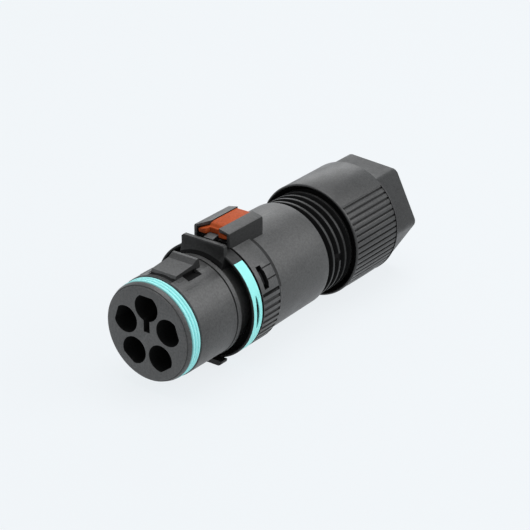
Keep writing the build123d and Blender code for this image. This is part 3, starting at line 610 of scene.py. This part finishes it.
def carve_flute(mesh, centre):
    """One more flute in the knurl: the skin is cut round it and its floor is pushed inwards."""
    def skin_from(front):
        found = []
        for face in mesh.faces:
            spots = [station(vert.co) for vert in face.verts]
            on_skin = all(abs(radius - knurl_radius) < skin_depth for x, radius, angle in spots)
            near = any(abs(angle - centre) < flute_reach for x, radius, angle in spots)
            if on_skin and near and min(x for x, radius, angle in spots) > front - hair:
                found.append(face)
        return found

    for edge_angle in (centre - flute_half_angle, centre + flute_half_angle):
        turn = math.radians(edge_angle)
        cut(mesh, skin_from(0), (0, 0, 0), (0, math.cos(turn), math.sin(turn)))
    cut(mesh, skin_from(0), (flute_front, 0, 0), (1, 0, 0))
    inside = [
        face for face in skin_from(flute_front)
        if abs(station(face.calc_center_median())[2] - centre) < flute_half_angle
    ]
    deeper = 1 - flute_depth / knurl_radius
    for part in bmesh.ops.extrude_face_region(mesh, geom=inside)["geom"]:
        if isinstance(part, bmesh.types.BMVert):
            part.co.yz = part.co.yz * deeper
    print("flute at", centre, "carved from", len(inside), "faces")
    bmesh.ops.delete(mesh, geom=[face for face in inside if face.is_valid], context="FACES")


print("one extra flute is", round(2 * knurl_radius * math.radians(flute_half_angle), 2), "mm wide")

# %% [markdown]
# ## The sleeve's joint, window and step
# The sleeve's front edge stands a little further back than in the solid, so that the joint behind the
# ring is a real gap, which stays right from every side, and its walls get painted deep shade as well,
# so that it reads as a black line. The window's rear wall swells, the knurl's flutes reach further
# forwards, and a cut behind the step lets the step's painted shade end there. All of this only moves
# points or adds edges.

# %% Joint, window and step of the sleeve
sleeve_front = 31.5
front_edge = 0.3
joint_width = 0.45
bore_limit = 17.0
window_end = 36.1
window_centre = 60.0
window_middle = 7
window_swell = 0.35
flute_start = 33.5
flute_start_angle = 84
flute_rim = 17.9
flute_growth = 1.1
chamfer_end = 41.9
step_shade = 42.5
step_inside = 16.5


def move_front_points(mesh):
    for vert in mesh.verts:
        x, radius, angle = station(vert.co)
        on_front = x < sleeve_front + front_edge and bore_limit < radius < knurl_radius + hair
        on_window = abs(x - window_end) < hair and abs(abs(angle) - window_centre) < window_middle
        on_flute = abs(x - flute_start) < hair and abs(angle) > flute_start_angle
        if on_front:
            vert.co.x += joint_width * MM
        elif on_window and radius > bore_limit:
            vert.co.x += window_swell * MM
        elif on_flute and radius > flute_rim:
            vert.co.x -= flute_growth * MM


def cut_step_shade(mesh):
    """Cuts the smooth body just behind its step, where the step's shade ends."""
    behind_step = [
        face for face in mesh.faces
        if any(abs(vert.co.x / MM - chamfer_end) < hair for vert in face.verts)
        and all(step_inside < station(vert.co)[1] < knurl_radius for vert in face.verts)
    ]
    cut(mesh, behind_step, (step_shade, 0, 0), (1, 0, 0))
    return len(behind_step)


def reshape_sleeve(mesh):
    move_front_points(mesh)
    for centre in (*extra_flutes, *[-angle for angle in extra_flutes]):
        carve_flute(mesh, centre)
    print("faces cut behind the step:", cut_step_shade(mesh))


print("joint behind the ring:", joint_width, "mm wide")

# %% [markdown]
# ## The sleeve's finishes
# The long body and the tops of the rails are grained. The lines between the pads, the chamfer, the
# step's shade and the rails' sides get painted half shade, the floors of the flutes get the satin
# copy as painted shade, the thread's crests are satin, and the joint, the window, the bore and the
# thread's roots get near-black painted deep shade. Each rule is one named line, so that it can be
# checked against the photograph on its own.

# %% Sleeve
joint_shade = 32.15
window_shade = 36.4
window_depth = 0.2
knurl_end = 40.4
line_depth = 0.08
pad_angle = 78.0
chamfer_angle = 100
rail_end = 48.0
rail_wall_share = 0.9
step_start = 41.8
flutes_end = 40.3
flutes_from = 74.0
body_end = 67.5
thread_crest = 16.5
crest_height = 0.1
crest_edge = 0.02
root_depth = 0.25


def sleeve_finish(x, radius, angle, normal):
    depth = knurl_radius - radius
    by_pads = abs(angle) < pad_angle
    in_joint = x < joint_shade and depth > hair
    on_flank = abs(normal.x) > slanted and radius < thread_crest - crest_edge
    in_thread = radius < thread_crest - root_depth or on_flank
    in_bore = radius < bore_limit if x < body_end else in_thread
    in_window = x < window_shade and depth > window_depth and by_pads
    # Painted deep shade in the joint, the window, the bore and the thread's roots.
    if in_joint or in_bore or in_window:
        return DEEP_SHADE
    in_pad_line = window_end < x < knurl_end and depth > line_depth and by_pads
    on_chamfer = knurl_end < x < chamfer_end and depth > 0 and normal.x > slanted
    on_rail_side = depth < 0 and x < rail_end and abs(normal.y) > rail_wall_share
    in_step_shade = step_start < x < step_shade and depth > 0 and by_pads
    # Painted half shade on the pad lines, the chamfer, the rails' sides and behind the step.
    if in_pad_line or (on_chamfer and abs(angle) < chamfer_angle) or on_rail_side or in_step_shade:
        return HALF_SHADE
    in_flute = x < flutes_end and depth > window_depth and abs(angle) > flutes_from
    on_crest = x > body_end and radius > thread_crest - crest_height
    # The floors of the flutes get the satin copy as painted shade.
    return SATIN_AND_SHADE if in_flute or on_crest else GRAINED


softened_piece(
    "sleeve", "sleeve_housing", grained_housing, sleeve_finish, reshape_sleeve
)

# %% [markdown]
# ## Slider and hook
# The orange slider is pulled back to free the plug, so it has to be found at a glance: it is the one
# bright piece, and it has one finish all over. The hook in front of it is the same dark plastic as
# the sleeve, grained on its top, and its other faces get painted half shade.

# %% Slider and hook
def hook_finish(x, radius, angle, normal):
    # Painted half shade on all but the hook's top.
    return GRAINED if normal.z > square_on else HALF_SHADE


softened_piece("slider", "release_slider", grained_slider)
softened_piece("hook", "latch_hook", grained_housing, hook_finish)

# %% [markdown]
# ## The contact insert
# The front face is one moulding with five deep chambers, but the solid comes as five equal sectors,
# which keeps the chambers open in the simulation. Their copies are joined, the walls between them are
# taken out and the seams flattened away, and the chambers get near-black painted deep shade from just
# behind their mouths.

# %% Insert from five sectors
poles = 5
each_pole = range(1, poles + 1)
sectors = [f"insert_sector_{i}" for i in each_pole]
sector_angle = 360 / poles
seam_angle = 0.3
along_share = 0.001
outwards_share = 0.02
chamber_lip = 0.3
insert_skin = 14.2
insert_edge = 0.12 * MM


def is_inner_wall(face):
    """True for the flat walls between two sectors, which no one sees."""
    x, radius, angle = station(face.calc_center_median())
    off_seam = (angle - sector_angle / 2) % sector_angle
    on_seam = min(off_seam, sector_angle - off_seam) < seam_angle
    outwards = Vector((0.0, *face.calc_center_median().yz)).normalized()
    is_radial = abs(face.normal.x) < along_share and abs(face.normal.dot(outwards)) < outwards_share
    return on_seam and is_radial


def insert_finish(x, radius, angle, normal):
    # Painted deep shade inside the chambers.
    return DEEP_SHADE if x > chamber_lip and radius < insert_skin else GRAINED


insert_mesh = merged_copy(*sectors)
walls = [face for face in insert_mesh.faces if is_inner_wall(face)]
bmesh.ops.delete(insert_mesh, geom=walls, context="FACES")
bmesh.ops.remove_doubles(insert_mesh, verts=insert_mesh.verts, dist=same_place)
open_edges = sum(1 for edge in insert_mesh.edges if len(edge.link_faces) != 2)
print("insert: sector walls removed", len(walls), "open edges", open_edges)
join_flat_faces(insert_mesh)
soften_edges(insert_mesh, insert_edge)
insert = show_piece(
    "insert", insert_mesh, grained_insert_painted_light, "plug_body", insert_finish
)
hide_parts(*sectors)

# %% [markdown]
# ## The colour band
# The teal band is a separate open ring, sprung into its groove, with a fine slit at each side that
# widens towards its middle like a willow leaf. The solid's slit has parallel sides. The copy's slit
# walls are pushed apart by a parabola, and the groove, painted in deep shade, shows through.

# %% Band with its leaf-shaped slits
slit_centre = 88.3
slit_half_angle = 16.5
slit_x = 29.275
slit_half_width = 0.225
slit_edge = 0.02
slit_reach = 1.05
slit_end_share = 0.85
slit_swell = 1.9
band_edge = 0.05 * MM


def open_slits(mesh):
    moved = 0
    for vert in mesh.verts:
        x, radius, angle = station(vert.co)
        along = (abs(angle) - slit_centre) / slit_half_angle
        on_wall = abs(abs(x - slit_x) - slit_half_width) < slit_edge
        if on_wall and abs(along) < slit_reach:
            share = slit_end_share + slit_swell * max(0.0, 1 - along * along)
            vert.co.x = (slit_x + (x - slit_x) * share) * MM
            moved += 1
    print("slit points moved:", moved)


softened_piece(
    "band", "colour_band", teal_band, reshape=open_slits, width=band_edge
)

# %% [markdown]
# ## The gland nut
# The nut is the part that a hand turns, so its two sides carry fine ribs and its front edge is
# rounded. Everything inside its mouth gets painted deep shade: the thread, the bore and the cone, and
# so does a thin band at the collar's rear edge, as a painted shadow at the hexagon's foot. The
# grooves between the ribs get painted half shade and the hexagon is satin, again by place.

# %% Nut with a dark mouth
nut_front = 80.5
collar_end = 103.7
mouth_limit = 17.9
hole_limit = 13.5
nut_rear_share = 0.9
groove_floor = 18.45
collar_edge = 18.5
collar_margin = 0.5
rear_edge = 0.3


def nut_finish(x, radius, angle, normal):
    inner_limit = mouth_limit if x < collar_end - collar_margin else hole_limit
    inside = radius < inner_limit and normal.x < nut_rear_share
    between_ribs = nut_front + collar_margin < x < collar_end - collar_margin
    in_groove = between_ribs and radius < groove_floor
    on_rear_edge = collar_end - rear_edge < x < collar_end + hair and radius > collar_edge
    # Painted deep shade inside the mouth, and a painted shadow line at the collar's rear edge.
    if inside or on_rear_edge:
        return DEEP_SHADE
    # Painted half shade in the grooves between the ribs.
    if in_groove:
        return HALF_SHADE
    return SATIN_AND_SHADE if x > collar_end - hair else GRAINED


softened_piece("nut", "gland_nut", grained_nut, nut_finish)

# %% [markdown]
# ## Geometry Nodes: small tools
# Things that follow a rule are grown by Geometry Nodes: the seals are turned like on a lathe and
# the nut's ribs are one rib repeated. A small helper makes a tree with named inputs, and another
# one sets the inputs, turns the result into plain geometry and takes the modifier away, so that
# the piece is an ordinary closed mesh before it joins the frame.

# %% Tree helpers
def start_tree(name, sockets):
    tree = bpy.data.node_groups.new(name, "GeometryNodeTree")
    for socket, kind in sockets.items():
        tree.interface.new_socket(socket, in_out="INPUT", socket_type="NodeSocket" + kind)
    tree.interface.new_socket("Geometry", in_out="OUTPUT", socket_type="NodeSocketGeometry")
    return tree, add_node(tree, "NodeGroupInput").outputs


def end_tree(tree, geometry, finish):
    """Every tree ends the same way: smooth, made real, with its material set."""
    smooth = add_node(tree, "GeometryNodeSetShadeSmooth", {"Geometry": geometry})
    real = add_node(tree, "GeometryNodeRealizeInstances", {"Geometry": smooth.outputs[0]})
    dressed = add_node(tree, "GeometryNodeSetMaterial", {
        "Geometry": real.outputs[0], "Material": finish,
    })
    add_node(tree, "NodeGroupOutput", {"Geometry": dressed.outputs[0]})
    print(tree.name, "tree:", len(tree.nodes), "nodes")


def grow(name, tree, values, body):
    """Runs a tree on an empty host, keeps the result as a mesh and drops the modifier."""
    host = bpy.data.objects.new(name + "_host", bpy.data.meshes.new(name + "_host"))
    scene.collection.objects.link(host)
    modifier = host.modifiers.new("grow", "NODES")
    modifier.node_group = tree
    for item in tree.interface.items_tree:
        if item.item_type == "SOCKET" and item.in_out == "INPUT":
            modifier[item.identifier] = values[item.name]
    host.update_tag()
    bpy.context.view_layer.update()
    evaluated = host.evaluated_get(bpy.context.evaluated_depsgraph_get())
    data = bpy.data.meshes.new_from_object(evaluated)
    host.modifiers.remove(modifier)
    bpy.data.objects.remove(host)
    mesh = bmesh.new()
    mesh.from_mesh(data)
    if mesh.calc_volume(signed=True) < 0:
        bmesh.ops.reverse_faces(mesh, faces=mesh.faces)
    mesh.to_mesh(data)
    volume = mesh.calc_volume(signed=True) / MM**3
    mesh.free()
    data.name = name
    data.set_sharp_from_angle(angle=sharp_angle)
    piece = bpy.data.objects.new(name, data)
    scene.collection.objects.link(piece)
    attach(piece, body)
    print(name, "grown:", len(data.polygons), "faces,", round(volume, 1), "mm3")
    return piece


# %% [markdown]
# ## A lathe
# The front seal, the inner ring and the cable bush are soft rings, so their lips are round and a
# little proud. A revolve from a table of points is what a lathe does: a grid has the section's
# points one way and the steps round the axis the other way, and each grid point goes to its place
# in the section, turned by its share of the full turn. One tree makes all three.

# %% Lathe tree
weld_distance = 0.001 * MM

lathe, lathe_in = start_tree("lathe", {
    "Section": "Object",
    "Points": "Int",
    "Steps": "Int",
    "Finish": "Material",
})
columns = calculate(lathe, "ADD", lathe_in["Steps"], 1)
grid = add_node(lathe, "GeometryNodeMeshGrid", {
    "Vertices X": calculate(lathe, "ADD", lathe_in["Points"], 1),
    "Vertices Y": columns,
})
index = add_node(lathe, "GeometryNodeInputIndex").outputs[0]
row = calculate(lathe, "FLOOR", calculate(lathe, "DIVIDE", index, columns))
step = calculate(lathe, "MODULO", index, columns)
full_turn = calculate(
    lathe, "MULTIPLY", calculate(lathe, "DIVIDE", step, lathe_in["Steps"]), math.tau
)
section = add_node(lathe, "GeometryNodeObjectInfo", {"Object": lathe_in["Section"]})
position = add_node(lathe, "GeometryNodeInputPosition").outputs[0]
sample = add_node(lathe, "GeometryNodeSampleIndex", {
    "Geometry": section.outputs["Geometry"],
    "Index": calculate(lathe, "MODULO", row, lathe_in["Points"]),
}, data_type="FLOAT_VECTOR", domain="POINT")
lathe.links.new(position, next(s for s in sample.inputs if s.name == "Value" and s.enabled))
rotate = add_node(lathe, "ShaderNodeVectorRotate", {
    "Vector": next(s for s in sample.outputs if s.enabled), "Angle": full_turn,
}, rotation_type="X_AXIS")
turned_grid = add_node(lathe, "GeometryNodeSetPosition", {
    "Geometry": grid.outputs["Mesh"], "Position": rotate.outputs[0],
})
weld = add_node(lathe, "GeometryNodeMergeByDistance", {
    "Geometry": turned_grid.outputs["Geometry"], "Distance": weld_distance,
})
end_tree(lathe, weld.outputs["Geometry"], lathe_in["Finish"])

# %% [markdown]
# ## Sections of the seals
# A lathe needs half a cross section. It could be read off the solid, but that is only a plain
# ring. Here the solid gives the place and the two radii, and a row of arches gives round lips
# that start and end at the seal's root.

# %% Turn a section into a seal
lip_sharpness = 4
lip_points = 14


def extent(node):
    """First and last place along the plug, smallest and largest radius of a solid, in mm."""
    stations = [station(vert.co) for vert in frame["nodes"][node].data.vertices]
    places = [x for x, radius, angle in stations]
    radii = [radius for x, radius, angle in stations]
    return min(places), max(places), min(radii), max(radii)


def lips(front, rear, root, crest, count):
    """A row of round lips from front to rear, each one an arch that starts and ends at its root."""
    pitch = (rear - front) / count
    row = []
    for lip in range(count):
        for k in range(lip_points + (lip == count - 1)):
            share = k / lip_points
            arch = 1 - abs(2 * share - 1) ** lip_sharpness
            row.append((front + (lip + share) * pitch, root + (crest - root) * arch))
    return row


def turned(name, node, section, finish, steps=180):
    outline = bpy.data.meshes.new(name + "_section")
    outline.from_pydata([(x * MM, 0.0, radius * MM) for x, radius in section], [], [])
    host = bpy.data.objects.new(name + "_section", outline)
    scene.collection.objects.link(host)
    values = {"Section": host, "Points": len(section), "Steps": steps, "Finish": finish}
    piece = grow(name, lathe, values, body_of_node(node))
    bpy.data.objects.remove(host)
    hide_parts(node)


print("each lip has", lip_points, "points")

# %% [markdown]
# ## The three seals
# The front seal has three lips outwards, which press on the socket's wall. The inner seal is a
# plain round ring. The cable bush has three lips inwards, which hold the cable's jacket, and its
# outer corners are broken so that it slips into the cage.

# %% Seals from their sections
lip_count = 3
lip_depth = 0.5
front_seal_steps = 240
front, rear, root, crest = extent("front_seal")
front_lips = lips(front, rear, crest - lip_depth, crest, lip_count)
front_section = [(front, root)] + front_lips + [(rear, root)]
turned(
    "turned_front_seal", "front_seal", front_section, teal_silicone, front_seal_steps
)

ring_points = 28
front, rear, root, crest = extent("sleeve_seal")
middle_x, middle_radius = (front + rear) / 2, (root + crest) / 2
half_x, half_radius = (rear - front) / 2, (crest - root) / 2
ring_turns = [math.tau * k / ring_points for k in range(ring_points)]
ring_section = [
    (middle_x + half_x * math.cos(turn), middle_radius + half_radius * math.sin(turn))
    for turn in ring_turns
]
turned("turned_inner_seal", "sleeve_seal", ring_section, black_silicone)

bush_lip_depth = 0.8
corner = 0.4
corner_step = 0.1
front, rear, bore, outside = extent("cable_seal")
bush_lips = lips(front, rear, bore + bush_lip_depth, bore, lip_count)
bush_section = bush_lips + [
    (rear, outside - corner),
    (rear - corner_step, outside - corner_step),
    (rear - corner, outside),
    (front + corner, outside),
    (front + corner_step, outside - corner_step),
    (front, outside - corner),
]
turned("turned_cable_bush", "cable_seal", bush_section, black_silicone)

# %% [markdown]
# ## Ribs round the nut
# The nut's two ribbed zones have a rib every six degrees, each with a rounded back that shows as a
# thin line of light beside a dark groove. The solid has only flat strips between its grooves. The
# ribs could be a bump, but a bump has no outline. So a rib is a long block whose upper face is
# arched by a parabola, and which stands a little sunk in its strip.

# %% Rib tree: one arched block
rib_block_height = 0.1 * MM
rib_rows = 5
rib_columns = 9
rib_end_share = 0.98

ribs, ribs_in = start_tree("collar_ribs", {
    "Ribs per side": "Int",
    "First angle": "Float",
    "Step angle": "Float",
    "Turn": "Float",
    "Length": "Float",
    "Width": "Float",
    "Rise": "Float",
    "Sunk": "Float",
    "Radius": "Float",
    "Middle": "Float",
    "Finish": "Material",
})
block_size = add_node(ribs, "ShaderNodeCombineXYZ", {
    "X": ribs_in["Length"], "Y": ribs_in["Width"], "Z": rib_block_height,
})
block = add_node(ribs, "GeometryNodeMeshCube", {
    "Size": block_size.outputs[0], "Vertices X": rib_rows, "Vertices Y": rib_columns,
})
spot = add_node(ribs, "ShaderNodeSeparateXYZ", {
    0: add_node(ribs, "GeometryNodeInputPosition").outputs[0],
}).outputs
across = calculate(ribs, "DIVIDE", calculate(ribs, "MULTIPLY", spot["Y"], 2.0), ribs_in["Width"])
arch = calculate(ribs, "SUBTRACT", 1.0, calculate(ribs, "MULTIPLY", across, across))
off_middle = calculate(ribs, "MULTIPLY", calculate(ribs, "ABSOLUTE", spot["X"]), 2.0)
along = calculate(ribs, "DIVIDE", off_middle, ribs_in["Length"])
before_end = calculate(ribs, "LESS_THAN", along, rib_end_share)
rise = calculate(ribs, "MULTIPLY", calculate(ribs, "MULTIPLY", arch, ribs_in["Rise"]), before_end)
is_top = calculate(ribs, "GREATER_THAN", spot["Z"], 0.0)
is_foot = calculate(ribs, "SUBTRACT", 1.0, is_top)
height = calculate(
    ribs, "SUBTRACT",
    calculate(ribs, "MULTIPLY", rise, is_top),
    calculate(ribs, "MULTIPLY", is_foot, ribs_in["Sunk"]),
)
bent = add_node(ribs, "ShaderNodeCombineXYZ", {
    "X": calculate(ribs, "ADD", spot["X"], ribs_in["Middle"]),
    "Y": spot["Y"],
    "Z": calculate(ribs, "ADD", height, ribs_in["Radius"]),
})
rib = add_node(ribs, "GeometryNodeSetPosition", {
    "Geometry": block.outputs["Mesh"], "Position": bent.outputs[0],
}).outputs["Geometry"]
print("one rib:", len(ribs.nodes), "nodes")

# %% [markdown]
# ## One rib becomes a zone
# Every rib is the same, so the tree makes it once and sets it on points by instances that turn
# round the axis. Even points make one side and odd points its mirror image, so both zones come
# from one set of angles. Real ribs would drift apart if each were placed by hand.

# %% Rib tree: the rib repeated on both sides
rib_number = add_node(ribs, "GeometryNodeInputIndex").outputs[0]
rank = calculate(ribs, "FLOOR", calculate(ribs, "DIVIDE", rib_number, 2))
is_mirrored = calculate(ribs, "MODULO", rib_number, 2)
side = calculate(ribs, "SUBTRACT", 1.0, calculate(ribs, "MULTIPLY", is_mirrored, 2.0))
rib_angle = calculate(
    ribs, "ADD", ribs_in["First angle"], calculate(ribs, "MULTIPLY", rank, ribs_in["Step angle"])
)
rib_turn = calculate(ribs, "ADD", calculate(ribs, "MULTIPLY", rib_angle, side), ribs_in["Turn"])
spots = add_node(ribs, "GeometryNodePoints", {
    "Count": calculate(ribs, "MULTIPLY", ribs_in["Ribs per side"], 2),
})
repeat = add_node(ribs, "GeometryNodeInstanceOnPoints", {
    "Points": spots.outputs[0],
    "Instance": rib,
    "Rotation": add_node(ribs, "ShaderNodeCombineXYZ", {"X": rib_turn}).outputs[0],
})
end_tree(ribs, repeat.outputs["Instances"], ribs_in["Finish"])

# %% [markdown]
# ## The ribs on the nut
# The tree knows no sizes of its own. They were measured on the nut: where the smooth zone ends,
# how wide a strip is and how long the collar's ribbed part is. A change of one size needs no
# change of the tree.

# %% Ribs on the nut
rib_step = 6.0
smooth_zone_end = 36.2
rib_margin = 2.4
grow("collar_ribs", ribs, {
    "Ribs per side": 17,
    "First angle": math.radians(smooth_zone_end + rib_margin + rib_step / 2),
    "Step angle": math.radians(rib_step),
    "Turn": math.radians(3.7),
    "Length": 21.9 * MM,
    "Width": 1.3 * MM,
    "Rise": 0.17 * MM,
    "Sunk": 0.1 * MM,
    "Radius": 18.59 * MM,
    "Middle": (nut_front + collar_end) / 2 * MM,
    "Finish": grained_nut,
}, "nut")

# %% [markdown]
# ## Pieces that keep their solids
# The contacts, clamps, screws and springs are turned or bent metal with true edges, and the block
# and the cage sit out of sight, so their solids stay as they are and only get their finish.

# %% Finishes of the pieces that keep their solids
def finish_nodes(material, *nodes):
    for node in nodes:
        data = frame["nodes"][node].data
        data.materials.clear()
        data.materials.append(material)
    print(material.name, "on", len(nodes), "solids")


finish_nodes(grained_block, "terminal_block", "clamp_cage")
finish_nodes(silver_plating, *[f"socket_contact_{i}" for i in each_pole])
finish_nodes(clamp_brass, *[f"terminal_clamp_{i}" for i in each_pole])
finish_nodes(screw_steel, "terminal_screws", "contact_springs")

# %% [markdown]
# ## The floor and the pale background
# The plug lies on pale paper in a pale room. More light would make the paper as pale as it should
# be, but would bleach the plug too. Instead the paper and the world show their own pale colour at
# strength 1 to rays from the camera and to rays that a gloss or a clear piece sends out, and they
# light the plug as ordinary paper and a dim room. A tenth of the paper stays real, so that it
# still takes the plug's shadow.

# %% Floor and world
paper_white = (0.879, 0.913, 0.939)
paper_roughness = 0.9
plain_share = 0.9
room_strength = 0.4
floor_reach = 3.0
floor_gap = 0.02 * MM
floor_level = cad_box[0].z - floor_gap
centre = (cad_box[0] + cad_box[1]) / 2


def background_rays(tree):
    """1 for rays that should see the plain background: camera, glossy and transmission rays."""
    rays = add_node(tree, "ShaderNodeLightPath").outputs
    direct = calculate(tree, "MAXIMUM", rays["Is Camera Ray"], rays["Is Glossy Ray"])
    return calculate(tree, "MAXIMUM", direct, rays["Is Transmission Ray"])


paper, paper_tree, paper_shader = start_material("paper", paper_white, paper_roughness)
plain = add_node(paper_tree, "ShaderNodeEmission", {"Color": (*paper_white, 1.0), "Strength": 1.0})
paper_mix = add_node(paper_tree, "ShaderNodeMixShader", {
    "Fac": calculate(paper_tree, "MULTIPLY", background_rays(paper_tree), plain_share),
    1: paper_shader.outputs["BSDF"],
    2: plain.outputs["Emission"],
})
paper_output = next(n for n in paper_tree.nodes if n.type == "OUTPUT_MATERIAL")
feed(paper_tree, paper_output, {"Surface": paper_mix.outputs["Shader"]})

bpy.ops.mesh.primitive_plane_add(size=2 * floor_reach, location=(centre.x, centre.y, floor_level))
floor = bpy.context.object
floor.name = "floor"
floor.data.materials.append(paper)

world = bpy.data.worlds.new("studio")
scene.world = world
world.use_nodes = True
room = world.node_tree
room_light = room.nodes["Background"]
feed(room, room_light, {"Color": (*paper_white, 1.0), "Strength": room_strength})
room_view = add_node(room, "ShaderNodeBackground", {"Color": (*paper_white, 1.0), "Strength": 1.0})
room_mix = add_node(room, "ShaderNodeMixShader", {
    "Fac": background_rays(room),
    1: room_light.outputs["Background"],
    2: room_view.outputs["Background"],
})
feed(room, room.nodes["World Output"], {"Surface": room_mix.outputs["Shader"]})
print("floor at", round(floor_level / MM, 2), "mm, room light", room_strength)

# %% [markdown]
# ## The lamps
# A product studio uses large soft lamps, whose reflections are broad and without a hard rim. Small
# lamps would draw sharp lines of light on every rib. One lamp hangs over the plug and makes the
# long body's sheen, one fills its near side, and a weak one behind it lights its far edges.

# %% Three soft lamps
def soft_lamp(name, place, width, power):
    data = bpy.data.lights.new(name, "AREA")
    data.energy = power
    data.size = width
    lamp = bpy.data.objects.new(name, data)
    lamp.location = place
    lamp.rotation_euler = (centre - Vector(place)).to_track_quat("-Z", "Y").to_euler()
    scene.collection.objects.link(lamp)
    print(name, power, "W")


soft_lamp("top_softbox", place=(0.1, 0.0, 0.7), width=0.6, power=3.0)
soft_lamp("side_fill", place=(0.38, -0.5, 0.42), width=0.5, power=2.15)
soft_lamp("back_card", place=(0.56, 0.38, 0.32), width=0.4, power=0.7)
